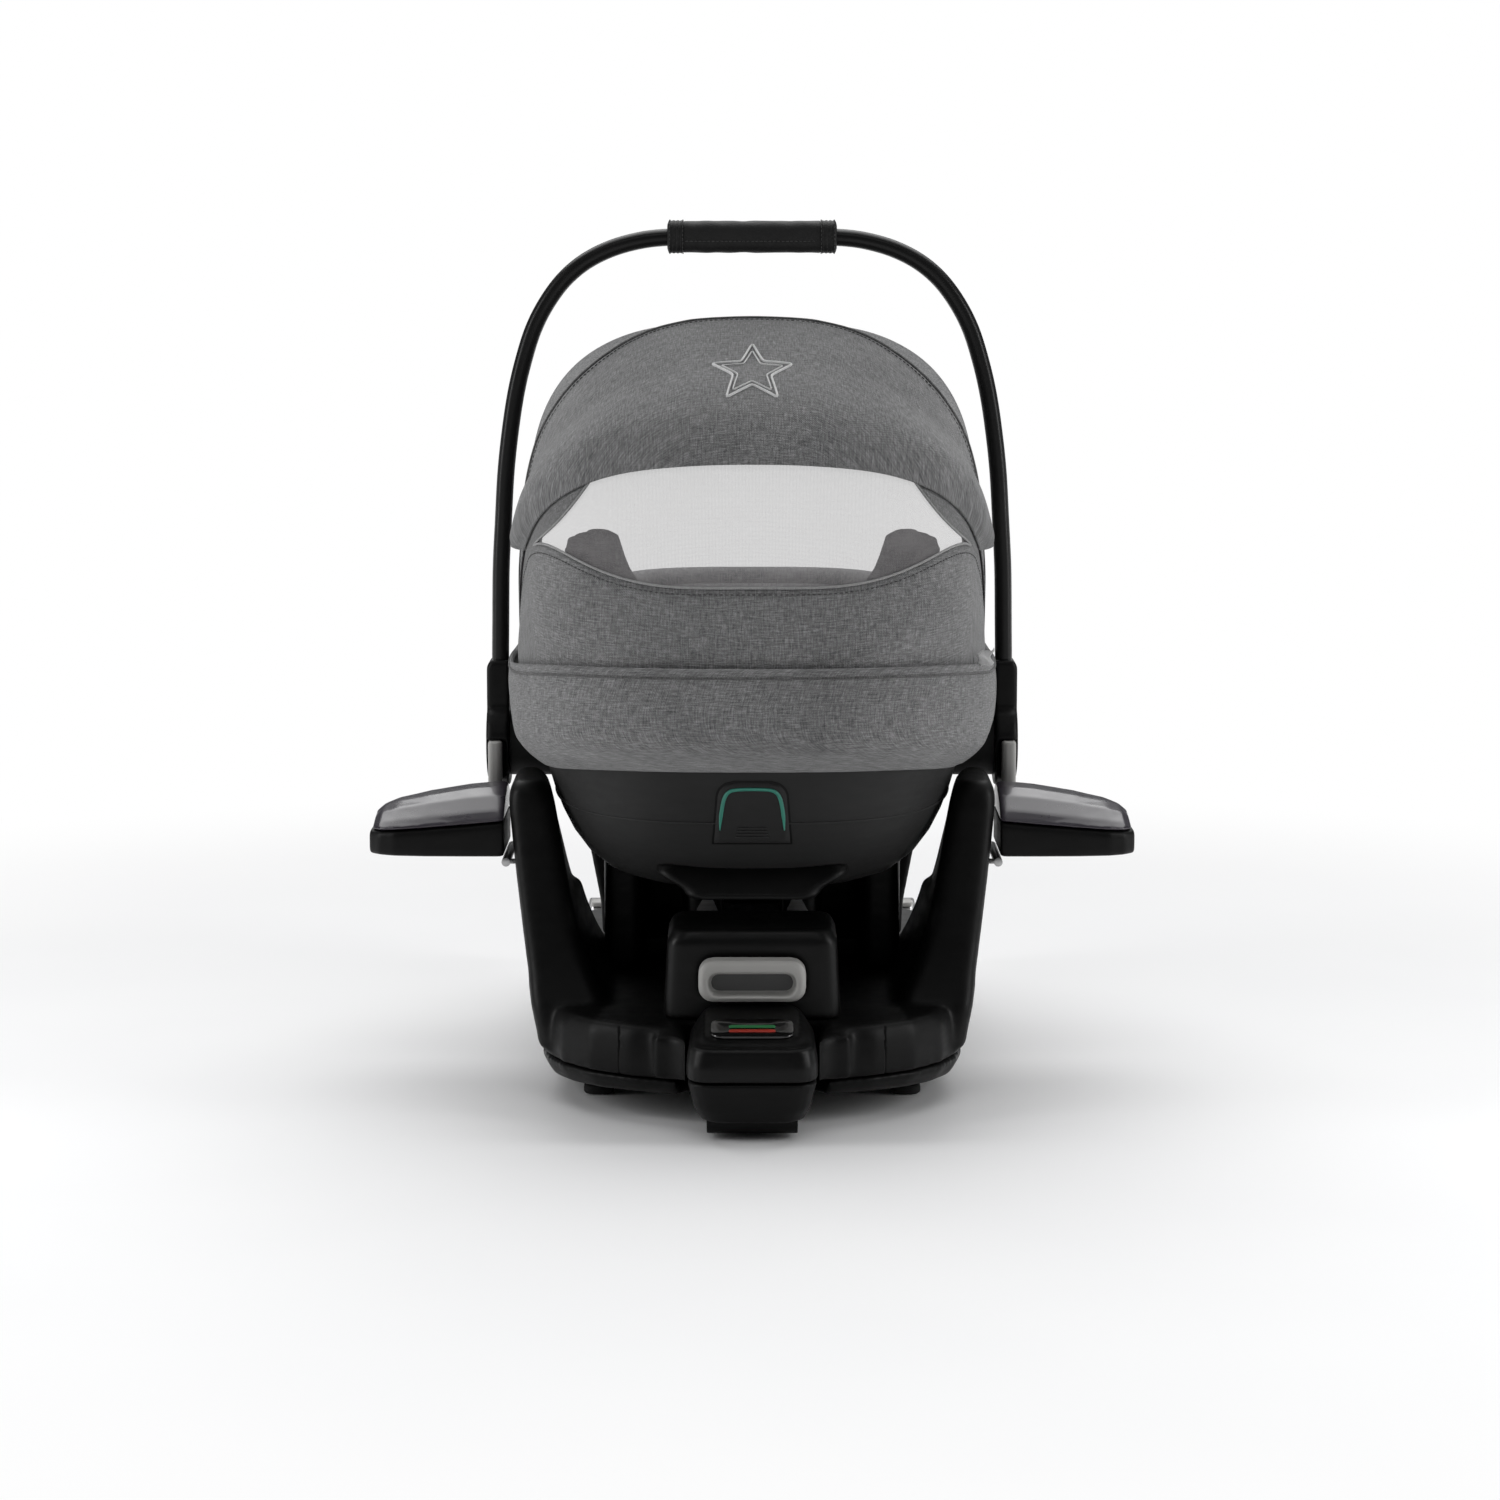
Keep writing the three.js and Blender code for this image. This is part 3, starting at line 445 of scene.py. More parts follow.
def tube(name, pts, mat, r=1.0, sides=10, closed=False, prof=None, up=None, caps=True, twist_uv=1.0):
    """A closed tube along points in millimetres. prof(i, t) gives the section's (u, v) pairs."""
    P = np.asarray(pts, float)
    n = len(P)
    if closed:
        T = np.roll(P, -1, 0) - np.roll(P, 1, 0)
    else:
        T = np.gradient(P, axis=0)
    T /= np.linalg.norm(T, axis=1)[:, None] + 1e-12
    ref = np.array(up if up is not None else (0, 0, 1), float)
    A = np.zeros_like(P)
    a = np.cross(T[0], ref)
    if np.linalg.norm(a) < 1e-3:
        a = np.cross(T[0], (1, 0.2, 0))
    a /= np.linalg.norm(a)
    for i in range(n):
        if up is not None:
            q = np.cross(T[i], ref)
            a = q / np.linalg.norm(q) if np.linalg.norm(q) > 1e-3 else a
        else:
            a = a - T[i] * (a @ T[i])
            a /= np.linalg.norm(a)
        A[i] = a
    B = np.cross(A, T)
    rings, L = [], 0.0
    uv = []
    for i in range(n):
        t = i / max(1, n - 1)
        sec = prof(i, t) if prof else [(r * math.cos(2 * math.pi * k / sides), r * math.sin(2 * math.pi * k / sides)) for k in range(sides)]
        if i:
            L += float(np.linalg.norm(P[i] - P[i - 1]))
        per = 0.0
        for k, (u, v) in enumerate(sec):
            if k:
                per += math.hypot(u - sec[k - 1][0], v - sec[k - 1][1])
            rings.append((P[i] + A[i] * u + B[i] * v) * MM)
            uv.append((per * MM, L * MM * twist_uv))
    m = len(sec)
    faces = []
    for i in range(n if closed else n - 1):
        q = (i + 1) % n
        for k in range(m):
            w = (k + 1) % m
            faces.append((i * m + k, i * m + w, q * m + w, q * m + k))
    if not closed and caps:
        faces.append(tuple(range(m)))
        faces.append(tuple((n - 1) * m + k for k in reversed(range(m))))
    o = mesh_from(name, rings, faces, mat)
    cloth_attr(o, np.array(uv))
    return outward(o)


def rr(w, h, r, n=5):
    p = []
    for sx, sy, a0 in ((1, 1, 0), (-1, 1, 90), (-1, -1, 180), (1, -1, 270)):
        for i in range(n + 1):
            a = (a0 + 90 * i / n) * DEG
            p.append((sx * (w / 2 - r) + r * math.cos(a), sy * (h / 2 - r) + r * math.sin(a)))
    return p


def spline(pts, n):
    """Catmull-Rom curve through pts, n points, evenly spread by chord length."""
    p = np.asarray(pts, float)
    e = np.concatenate([[2 * p[0] - p[1]], p, [2 * p[-1] - p[-2]]])
    out = []
    for i in range(1, len(e) - 2):
        for t in np.linspace(0, 1, 24, endpoint=False):
            a, b, c, d = e[i - 1], e[i], e[i + 1], e[i + 2]
            out.append(0.5 * (2 * b + (c - a) * t + (2 * a - 5 * b + 4 * c - d) * t * t + (3 * b - a - 3 * c + d) * t ** 3))
    out.append(p[-1])
    out = np.array(out)
    s = np.concatenate([[0], np.cumsum(np.linalg.norm(np.diff(out, axis=0), axis=1))])
    q = np.linspace(0, s[-1], n)
    return np.stack([np.interp(q, s, out[:, k]) for k in range(out.shape[1])], 1)


def lerp(a, b, t):
    return a + (b - a) * t


def smoothstep(t):
    t = np.clip(t, 0, 1)
    return t * t * (3 - 2 * t)


def table(pts):
    xs, ys = [p[0] for p in pts], [p[1] for p in pts]

    def f(x):
        if x <= xs[0]:
            return ys[0]
        for i in range(1, len(xs)):
            if x <= xs[i]:
                return lerp(ys[i - 1], ys[i], float(smoothstep((x - xs[i - 1]) / (xs[i] - xs[i - 1]))))
        return ys[-1]
    return f


def apply_all(o):
    dg = bpy.context.evaluated_depsgraph_get()
    dg.update()
    me = bpy.data.meshes.new_from_object(o.evaluated_get(dg), depsgraph=dg)
    o.modifiers.clear()
    o.data = me
    return o


def copy_nodes(name, *nodes):
    bm = bmesh.new()
    for nd in nodes:
        bm.from_mesh(NODES[nd].data)
    bmesh.ops.remove_doubles(bm, verts=bm.verts, dist=2e-5)
    me = bpy.data.meshes.new(name)
    bm.to_mesh(me)
    bm.free()
    o = bpy.data.objects.new(name, me)
    scene.collection.objects.link(o)
    return o


def laplace(o, iterations, factor=0.5, keep_volume=True, pin=None):
    """Smooths a mesh; alternating shrink and grow steps keep its size."""
    me = o.data
    n = len(me.vertices)
    co = np.zeros(n * 3)
    me.vertices.foreach_get("co", co)
    co = co.reshape(-1, 3)
    e = np.zeros(len(me.edges) * 2, np.int64)
    me.edges.foreach_get("vertices", e)
    e = e.reshape(-1, 2)
    deg = np.bincount(e.ravel(), minlength=n).astype(float)
    deg[deg == 0] = 1
    w = np.ones(n) if pin is None else pin(co)
    for it in range(iterations):
        for f in ((factor, -factor * 1.02) if keep_volume else (factor,)):
            s = np.zeros((n, 3))
            for k in range(3):
                s[:, k] = np.bincount(e[:, 0], weights=co[e[:, 1], k], minlength=n) + np.bincount(e[:, 1], weights=co[e[:, 0], k], minlength=n)
            co = co + (f * w)[:, None] * (s / deg[:, None] - co)
    me.vertices.foreach_set("co", co.ravel())
    me.update()
    return o


def soften(name, nodes, mat, voxel=2.0, iterations=6, extra=None, taubin=10, ratio=None):
    """A moulded piece with rounded edges from CAD solids: voxel skin, smoothed."""
    o = copy_nodes(name, *nodes)
    if extra:
        bm = bmesh.new()
        bm.from_mesh(o.data)
        for x in extra:
            bm.from_mesh(x.data)
            bpy.data.objects.remove(x)
        bm.to_mesh(o.data)
        bm.free()
    md = o.modifiers.new("skin", "REMESH")
    md.mode = "VOXEL"
    md.voxel_size = voxel * MM
    md.use_smooth_shade = True
    apply_all(o)
    laplace(o, iterations, 0.5, keep_volume=False)
    laplace(o, taubin, 0.55, keep_volume=True)
    if ratio:
        d = o.modifiers.new("thin", "DECIMATE")
        d.ratio = ratio
        apply_all(o)
    o.data.shade_smooth()
    give(o, mat)
    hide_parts(*nodes)
    return o


def groove(o, axis, at, width, depth, where):
    """Cuts a narrow seam round a mesh on the plane axis = at (millimetres), where where(centre in mm, normal) holds."""
    bm = bmesh.new()
    bm.from_mesh(o.data)
    no = Vector((0, 0, 0))
    no[axis] = 1
    for d in (-width / 2, 0, width / 2):
        co = Vector((0, 0, 0))
        co[axis] = (at + d) * MM
        fs = [f for f in bm.faces if abs(f.calc_center_median()[axis] - at * MM) < 0.012 and where(f.calc_center_median() / MM, f.normal)]
        vs, es = set(), set()
        for f in fs:
            vs.update(f.verts)
            es.update(f.edges)
        bmesh.ops.bisect_plane(bm, geom=list(vs) + list(es) + fs, dist=1e-7, plane_co=co, plane_no=no)
    bm.normal_update()
    mids = [v for v in bm.verts if abs(v.co[axis] - at * MM) < 2e-7 and where(v.co / MM, v.normal)]
    for v in mids:
        v.co -= v.normal * depth * MM
    bm.to_mesh(o.data)
    bm.free()
    o.data.shade_smooth()
    return o


def bevelled(node, mat, width=0.8, segments=2, angle=35):
    """A CAD node that stays, with softened edges."""
    o = NODES[node]
    o.data.materials.clear()
    o.data.materials.append(MAT[mat])
    w = o.modifiers.new("weld", "WELD")
    w.merge_threshold = 0.00002
    b = o.modifiers.new("edges", "BEVEL")
    b.width = width * MM
    b.segments = segments
    b.limit_method = "ANGLE"
    b.angle_limit = angle * DEG
    b.harden_normals = False
    o.data.shade_smooth()
    return o


def ride(o, body):
    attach(o, body)
    return o


def mirrored(o, name):
    """A copy of a piece on the other side."""
    c = o.copy()
    c.data = o.data.copy()
    c.name = name
    c.data.name = name
    for k in list(c.keys()):
        if k.startswith("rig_"):
            del c[k]
    c.parent = None
    bm = bmesh.new()
    bm.from_mesh(c.data)
    for v in bm.verts:
        v.co.x = -v.co.x
    bmesh.ops.reverse_faces(bm, faces=bm.faces)
    bm.to_mesh(c.data)
    bm.free()
    c.data.shade_smooth()
    scene.collection.objects.link(c)
    return c


def inflate(o, pressure, cap_mm, voxel=5.0, frames=20, stiffness=15.0):
    """Cloth under gentle pressure, capped, applied, with one subdivision."""
    r = o.modifiers.new("skin", "REMESH")
    r.mode = "VOXEL"
    r.voxel_size = voxel * MM
    apply_all(o)
    laplace(o, 2, 0.5, keep_volume=False)
    base = np.zeros(len(o.data.vertices) * 3)
    o.data.vertices.foreach_get("co", base)
    base = base.reshape(-1, 3)
    c = o.modifiers.new("cloth", "CLOTH")
    s = c.settings
    s.use_pressure = True
    s.uniform_pressure_force = pressure
    s.tension_stiffness = s.compression_stiffness = stiffness
    s.effector_weights.gravity = 0
    c.point_cache.frame_start, c.point_cache.frame_end = 1, frames
    for f in range(1, frames + 1):
        scene.frame_set(f)
    dg = bpy.context.evaluated_depsgraph_get()
    me = bpy.data.meshes.new_from_object(o.evaluated_get(dg), depsgraph=dg)
    new = np.zeros(len(me.vertices) * 3)
    me.vertices.foreach_get("co", new)
    new = new.reshape(-1, 3)
    o.modifiers.clear()
    scene.frame_set(1)
    d = new - base
    ln = np.linalg.norm(d, axis=1)
    ok = np.isfinite(ln)
    d[~ok] = 0
    ln[~ok] = 0
    lim = np.minimum(1, cap_mm * MM / np.maximum(ln, 1e-9))
    base = base + d * lim[:, None]
    o.data.vertices.foreach_set("co", base.ravel())
    o.data.update()
    laplace(o, 2, 0.5, keep_volume=True)
    sd = o.modifiers.new("fine", "SUBSURF")
    sd.levels = sd.render_levels = 1
    apply_all(o)
    o.data.shade_smooth()
    return o


# ------------------------------------------------------------------ floor
fl = mesh_from("studio_floor", [(-9, -9, -0.0004), (9, -9, -0.0004), (9, 9, -0.0004), (-9, 9, -0.0004)], [(0, 1, 2, 3)], "foam", smooth=False)
fm, fn, fll, fb = new_material("floor_white", (0.9, 0.9, 0.9))
ftc = fn.new("ShaderNodeTexCoord").outputs["Object"]
fll.new(ramp(fn, fll, noise(fn, fll, ftc, 3, 2), [(0.3, (0.93, 0.93, 0.935)), (0.7, (0.95, 0.95, 0.952))]), fb.inputs["Base Color"])
fb.inputs["Roughness"].default_value = 0.7
fb.inputs["Specular IOR Level"].default_value = 0.1
fem = fn.new("ShaderNodeEmission")
fem.inputs["Color"].default_value = (1, 1, 1, 1)
fem.inputs["Strength"].default_value = 1.0
flen = fn.new("ShaderNodeVectorMath")
flen.operation = "LENGTH"
fll.new(ftc, flen.inputs[0])
ffar = fn.new("ShaderNodeMapRange")
ffar.interpolation_type = "SMOOTHSTEP"
ffar.inputs["From Min"].default_value, ffar.inputs["From Max"].default_value = 0.75, 1.5
fll.new(flen.outputs["Value"], ffar.inputs["Value"])
fmix = fn.new("ShaderNodeMixShader")
fll.new(ffar.outputs["Result"], fmix.inputs[0])
fll.new(fb.outputs[0], fmix.inputs[1])
fll.new(fem.outputs[0], fmix.inputs[2])
fll.new(fmix.outputs[0], fn["Material Output"].inputs["Surface"])
fl.data.materials.clear()
fl.data.materials.append(fm)

# ------------------------------------------------------------------ the carrier's shape (millimetres)
SEAT_YC, SHELL_W, SHELL_L, SHELL_BOTTOM, PN = 25, 184, 306, 160, 3
HUB_Z, CAN_Y, CAN_Z, CAN_W, CAN_R = 262, 18, 305, 193.5, 315
rimZ = table([(-300, 356), (-60, 338), (70, 334), (340, 372)])
liner = table([(-262, 335), (-200, 292), (-120, 246), (-20, 208), (70, 190), (140, 206), (220, 262), (300, 325)])


def wall(r, p=6, q=0.757):
    return 1 - max(0.0, 1 - min(r, 1) ** p) ** q


def plan(a):
    c, s, k = math.cos(a), math.sin(a), 2 / PN
    return math.copysign(abs(c) ** k, c), math.copysign(abs(s) ** k, s)


# angles spread evenly along the plan's edge
_a = np.linspace(0, 2 * math.pi, 4001)
_p = np.array([plan(a) for a in _a]) * (SHELL_W, SHELL_L)
_s = np.concatenate([[0], np.cumsum(np.linalg.norm(np.diff(_p, axis=0), axis=1))])


def ring_angles(n, start=0.0):
    return [float(np.interp((i / n + start) % 1 * _s[-1], _s, _a)) for i in range(n)]


RHOS = [0.02, 0.15, 0.3, 0.45, 0.58, 0.68, 0.76, 0.82, 0.865, 0.9, 0.927, 0.949, 0.966, 0.979, 0.988, 0.994, 0.998, 1.0]


def bowl(W, L, floor, n=128, dz=0.0, top=0.0, rhos=RHOS):
    g = []
    for a in ring_angles(n):
        dx, dy = plan(a)
        row = []
        for r in rhos:
            x, y = r * W * dx, SEAT_YC + r * L * dy
            zb = (floor(y) if callable(floor) else floor) + dz
            row.append((x, y, zb + (rimZ(y) + top - zb) * wall(r)))
        g.append(row)
    return np.array(g)


def pad_z(x, y, up=0.0):
    W, L = SHELL_W - 31, SHELL_L - 31
    r = ((abs(x) / W) ** PN + (abs(y - SEAT_YC) / L) ** PN) ** (1 / PN)
    zb = liner(y) + 11
    return zb + (rimZ(y) - zb) * wall(r) + up


def shell_point(x, z, o=0.0):
    lo, hi = -SHELL_L + SEAT_YC, 0.0

    def f(y):
        r = ((abs(x) / SHELL_W) ** PN + (abs(y - SEAT_YC) / SHELL_L) ** PN) ** (1 / PN)
        return 1e3 if r > 1 else SHELL_BOTTOM + (rimZ(y) - SHELL_BOTTOM) * wall(r)
    for _ in range(40):
        m = (lo + hi) / 2
        lo, hi = (m, hi) if f(m) > z else (lo, m)
    y = (lo + hi) / 2
    s = (f(y + 1) - f(y - 1)) / 2
    q = math.hypot(1, s)
    return np.array([x, y + o * s / q, z - o / q])


# ------------------------------------------------------------------ shell
outer = bowl(SHELL_W, SHELL_L, SHELL_BOTTOM, 160)
inner = bowl(SHELL_W - 4, SHELL_L - 4, SHELL_BOTTOM + 4, 160)
lip = (outer[:, -1:] + inner[:, -1:]) / 2 + np.array([0, 0, 1.2])
shell_rings = np.concatenate([outer, lip, inner[:, ::-1]], axis=1)
shell = grid("carrier_shell", shell_rings, "shell_plastic", wrap=True)
bm = bmesh.new()
bm.from_mesh(shell.data)
edges = [e for e in bm.edges if len(e.link_faces) == 1]
bmesh.ops.holes_fill(bm, edges=edges, sides=0)
bm.to_mesh(shell.data)
bm.free()
outward(shell)
shell.data.shade_smooth()
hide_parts("seat_shell")
ride(shell, "carrier")

# moulded rib round the shell, just under the skirt
for nm, zz, rad in (("shell_rib_upper", 232, 1.0),):
    pts = []
    for a in ring_angles(150):
        dx, dy = plan(a)
        zr = rimZ(SEAT_YC + SHELL_L * dy)
        h = max(0.0, min(0.999, (zz - SHELL_BOTTOM) / (zr - SHELL_BOTTOM)))
        r = (1 - (1 - h) ** (1 / 0.757)) ** (1 / 6)
        pts.append(((SHELL_W * r + 0.2) * dx, SEAT_YC + (SHELL_L * r + 0.2) * dy, zz))
    ride(tube(nm, pts, "shell_plastic", r=rad, sides=8, closed=True), "carrier")

# release lever: a raised tongue with an arched outline, on a black sheet a little wider than it that paints the shade
# of the gap round it
def tongue(name, w0, w1, z0, z1, base, top, mat, round_top=13.0, n=26, m=30, corner=0.0):
    """A panel on the shell's back: half width w0 at the bottom z0 and w1 at the top z1, with rounded top corners."""
    rows = []
    for j in range(m + 1):
        z = lerp(z0, z1, j / m)
        w = lerp(w0, w1, j / m)
        d = z1 - z
        if d < round_top:
            w -= round_top - math.sqrt(max(0, round_top ** 2 - (round_top - d) ** 2))
        e = z - z0
        if corner and e < corner:
            w -= corner - math.sqrt(max(0, corner ** 2 - (corner - e) ** 2))
        rows.append((z, w))
    P = []
    for i in range(n + 1):
        u = lerp(-1, 1, i / n)
        col = []
        for z, w in rows:
            edge = min(1 - abs(u), 1) * w
            vert = min(z - z0, z1 - z)
            lift = float(smoothstep(min(edge / 2.6 + 0.0, vert / 2.6 + 0.0, 1)))
            col.append(shell_point(u * w, z, lerp(base, top, lift)))
        P.append(col)
    return grid(name, np.array(P), mat)


# black sheet showing past the lever's edges: painted shade of the gap round the lever
gap_shade_sheet = tongue("lever_gap_shade", 31.6, 27.6, 213.5, 268, 0.3, 0.7, "base_plastic", 13)
face_out(gap_shade_sheet, (0, 0, 0.3))
ride(gap_shade_sheet, "carrier")
lever = tongue("release_tongue", 30.0, 26.0, 215.0, 266.6, 0.8, 2.4, "shell_plastic", 12)
face_out(lever, (0, 0, 0.3))
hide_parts("release_lever")
ride(lever, "release_lever")
arch = [(-30.0, 228), (-29.2, 238), (-27.6, 248), (-25.4, 255.5), (-21.5, 260.0), (-15, 261.8), (0, 262.3)]
arch = arch + [(-x, z) for x, z in arch[:-1][::-1]]
apts = [shell_point(x * 0.84, z, 2.7) for x, z in spline(arch, 90)]
trim = tube("lever_arch", apts, "teal_plastic", prof=lambda i, t: rr(3.0 * min(1, 0.35 + 6 * t, 0.35 + 6 * (1 - t)), 1.5, 0.7, 2), up=(0, -0.85, -0.5))
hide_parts("lever_trim")
ride(trim, "release_lever")
for k in range(4):
    zz = 222 + 0.0 + k * 2.6
    pts = [shell_point(x, zz, 2.6) for x in np.linspace(-13 + k * 0.6, 13 - k * 0.6, 22)]
    ride(tube("lever_grip_%d" % k, pts, "shell_plastic", r=0.7, sides=8), "release_lever")

# lower tongue of the shell with drawn-in corners
def skid_width(z):
    return lerp(54, 76, float(smoothstep((z - 172) / 16)))


P = []
NS = 48
for j in range(15):
    t = j / 14
    z = lerp(168.4, 192, t)
    w = skid_width(z) - (4 * (1 - t * 6) if t < 1 / 6 else 0)
    y0 = -231.5 + 24 * t ** 1.15 + (3 * (1 - t * 7) if t < 1 / 7 else 0)
    ring = []
    for u, v in rr(2 * w, 84, 15, 6):
        ring.append((u, y0 + 42 + v, z))
    P.append(ring)
P = np.array(P).transpose(1, 0, 2)
skid = grid("shell_tongue", P, "base_plastic", wrap=True)
bm = bmesh.new()
bm.from_mesh(skid.data)
bmesh.ops.holes_fill(bm, edges=[e for e in bm.edges if len(e.link_faces) == 1], sides=0)
bm.to_mesh(skid.data)
bm.free()
outward(skid)
sb = skid.modifiers.new("edges", "BEVEL")
sb.width, sb.segments, sb.limit_method, sb.angle_limit = 2.5 * MM, 3, "ANGLE", 50 * DEG
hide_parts("rear_skid")
ride(skid, "carrier")

# ------------------------------------------------------------------ rim skirt: fabric pocket with an elastic hem
skirt_low = table([(-300, 276), (-150, 264), (-105, 274), (-62, 297), (62, 297), (110, 290), (350, 318)])


def shell_rho(z, zr):
    h = max(0.0, min(0.999, (z - SHELL_BOTTOM) / (zr - SHELL_BOTTOM)))
    return (1 - (1 - h) ** (1 / 0.757)) ** (1 / 6)


def skirt_section(a, inset=0.0):
    dx, dy = plan(a)
    y1 = SEAT_YC + SHELL_L * dy
    zr, zl = rimZ(y1), skirt_low(y1)
    h = zr - zl

    def pt(w, z):
        return np.array([(w - inset) * dx, SEAT_YC + (w - inset + SHELL_L - SHELL_W) * dy, z])

    def low(z, o):
        r = shell_rho(z, zr)
        return np.array([(SHELL_W * r + o - inset) * dx, SEAT_YC + (SHELL_L * r + o - inset) * dy, z])
    mid = lerp(pt(200, zl + 0.16 * h), low(zl + 0.16 * h, 9), 0.4)
    return [pt(197.4, zr + 0.2), pt(198.6, zr + 3.2), pt(200.6, zr + 3.0), pt(202, zr - 0.12 * h), pt(202.8, zr - 0.4 * h), pt(201.2, zr - 0.68 * h), mid, low(zl + 1, 8.0), low(zl + 2.2, 4.5), low(zl + 7, 3.4)], h


NSK = 420
ang = ring_angles(NSK)
ph = rng.uniform(0, 2 * math.pi, 8)
P = []
for i, a in enumerate(ang):
    sec, h = skirt_section(a)
    c = spline(sec, 44)
    s = i / NSK * 2 * math.pi
    nrm = np.array([math.cos(a), math.sin(a), 0])
    for j in range(len(c)):
        t = j / (len(c) - 1)
        gather = (0.7 * math.sin(46 * s + ph[0]) + 0.45 * math.sin(71 * s + ph[1]) + 0.4 * math.sin(97 * s + ph[2])) * float(smoothstep((t - 0.45) / 0.35)) * (1.0 if t < 0.93 else 0.3)
        slow = (0.8 * math.sin(5 * s + ph[3] + 2.0 * t) + 0.6 * math.sin(9 * s + ph[4] - 3 * t) + 0.35 * math.sin(17 * s + ph[5] + 5 * t)) * math.sin(math.pi * min(1, max(0, (t - 0.08) / 0.84)))
        c[j] = c[j] + nrm * (gather * 0.75 + slow)
    P.append(c)
skirt = grid("rim_cover", np.array(P), "melange", wrap=True, thick=1.1, offset=-1)
face_out(skirt, (0, 0.025, 0.32))
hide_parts("rim_skirt")
ride(skirt, "carrier")
SK = np.array(P)
# top edge binding
top = tube("rim_binding", SK[:, 5] + np.array([0, 0, 0.2]), "melange_dark", r=1.15, sides=8, closed=True)
ride(top, "carrier")

# ------------------------------------------------------------------ canopy
PROFILE = [(0, 1), (0.26, 0.993), (0.5, 0.968), (0.68, 0.918), (0.81, 0.845), (0.9, 0.745), (0.955, 0.61), (0.985, 0.45), (0.995, 0.3), (1, 0.16)]
_pf = np.array(PROFILE)
_half = np.concatenate([(_pf[1:] * (-1, 1))[::-1], _pf])
_full = []
for i in range(len(_half)):
    _full.append(_half[i])
_full = np.array(_full)


def prof_at(t):
    """Profile point (x, r) in millimetres for t in -9..9, and its outward normal."""
    i = min(17, max(0, int(math.floor(t + 9))))
    f = t + 9 - i
    p = [_full[min(18, max(0, i + k))] for k in (-1, 0, 1, 2)]
    if i == 0:
        p[0] = 2 * p[1] - p[2]
    if i == 17:
        p[3] = 2 * p[2] - p[1]
    q = 0.5 * (2 * p[1] + (p[2] - p[0]) * f + (2 * p[0] - 5 * p[1] + 4 * p[2] - p[3]) * f * f + (3 * p[1] - p[0] - 3 * p[2] + p[3]) * f ** 3)
    d = 0.5 * ((p[2] - p[0]) + 2 * (2 * p[0] - 5 * p[1] + 4 * p[2] - p[3]) * f + 3 * (3 * p[1] - p[0] - 3 * p[2] + p[3]) * f * f)
    x, r = q[0] * CAN_W, q[1] * CAN_R
    tx, tr = d[0] * CAN_W, d[1] * CAN_R
    L = math.hypot(tx, tr) + 1e-9
    return x, r, -tr / L, tx / L


def can(t, phi, o=0.0):
    x, r, nx, nr = prof_at(t)
    x, r = x + nx * o, r + nr * o
    f = phi * DEG
    return np.array([x, CAN_Y + r * math.cos(f), CAN_Z + r * math.sin(f)])


def ease(v, a, b):
    return float(smoothstep((v - a) / (b - a)))


def canopy_grid(ts, rows, off):
    """rows(t) gives the list of phi for a column, off(t, phi, k) the offset."""
    P = []
    for t in ts:
        ph_ = rows(t)
        P.append([can(t, f, off(t, f, k / (len(ph_) - 1))) for k, f in enumerate(ph_)])
    return np.array(P)


ph = rng.uniform(0, 2 * math.pi, 24)


def wrinkle(t, phi, amp=1.0):
    x = prof_at(t)[0]
    return amp * (0.6 * math.sin(x / 47 + phi / 9 + ph[0]) + 0.45 * math.sin(x / 29 - phi / 5 + ph[1]) + 0.3 * math.sin(x / 17 + phi / 4 + ph[2]) + 0.2 * math.sin(x / 8.5 - phi / 2.3 + ph[3]))


# middle section: a cap that ends in rounded tips, with its lower edge rolled under
TIP = 6.15


def cap_lo(t):
    return float(np.interp(abs(t), [0, 1.0, 1.5, 2, 2.5, 3, 3.5, 4.1, 5.0, 5.5, 5.9, TIP], [98, 98.4, 100.6, 103.9, 107, 109.4, 111.4, 113.4, 115.6, 118.6, 123.5, 129]))


def cap_hi(t):
    e = max(0.0, (abs(t) - 5.3) / (TIP - 5.3))
    return 139.0 - 3.4 * e ** 2.2


ts = np.concatenate([-np.linspace(0, 1, 90)[::-1] ** 0.88 * TIP, np.linspace(0, 1, 90)[1:] ** 0.88 * TIP])
NR = 52


def cap_rows(t):
    a, b = cap_lo(t), cap_hi(t)
    return [lerp(a, b, (k / (NR - 1)) ** 0.92) for k in range(NR)]


def cap_off(t, phi, k):
    side = ease(abs(t), 3.2, 5.9)
    puff = 1.2 + lerp(14.5, 10.5, side) * ease(k, lerp(0.36, 0.15, side), 0.84)
    if k > 0.80:
        puff *= math.sqrt(max(0.0, 1 - ((k - 0.80) / 0.20) ** 2)) * 0.93 + 0.07
    sag = -1.0 * math.sin(math.pi * min(1, k / 0.6)) * (1 - side)
    tipfall = -2.4 * ease(abs(t), TIP - 0.35, TIP)
    return puff + sag + tipfall + wrinkle(t, phi, 0.5) * math.sin(math.pi * min(1, k * 1.02)) + (0.6 if k < 0.03 else 0)


P = canopy_grid(ts, cap_rows, cap_off)
# the lower edge rolls under towards the rear panel
roll = []
for i, t in enumerate(ts):
    phi = cap_hi(t)
    o0 = cap_off(t, phi, 1.0)
    x, r, nx, nr = prof_at(t)
    rad = max(1.2, (o0 + 1.6) / 2)
    c = []
    for k in range(1, 13):
        b = k / 12 * math.pi
        c.append(can(t, phi + math.sin(b) * rad * 0.9 / max(60, r) / DEG, o0 - rad + rad * math.cos(b)))
    phi_in = phi
    for k in range(1, 4):
        c.append(can(t, phi_in - k * 8 / max(60, r) / DEG, o0 - 2 * rad + 0.1 * k))
    roll.append(c)
P = np.concatenate([P, np.array(roll)], axis=1)
cap = grid("canopy_cap", P, "melange", thick=0.9, offset=-1)
face_out(cap, (0, 0.018, 0.305))
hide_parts("canopy_mid_panel", "canopy_mid_bow")
ride(cap, "canopy_mid")
CAP = P
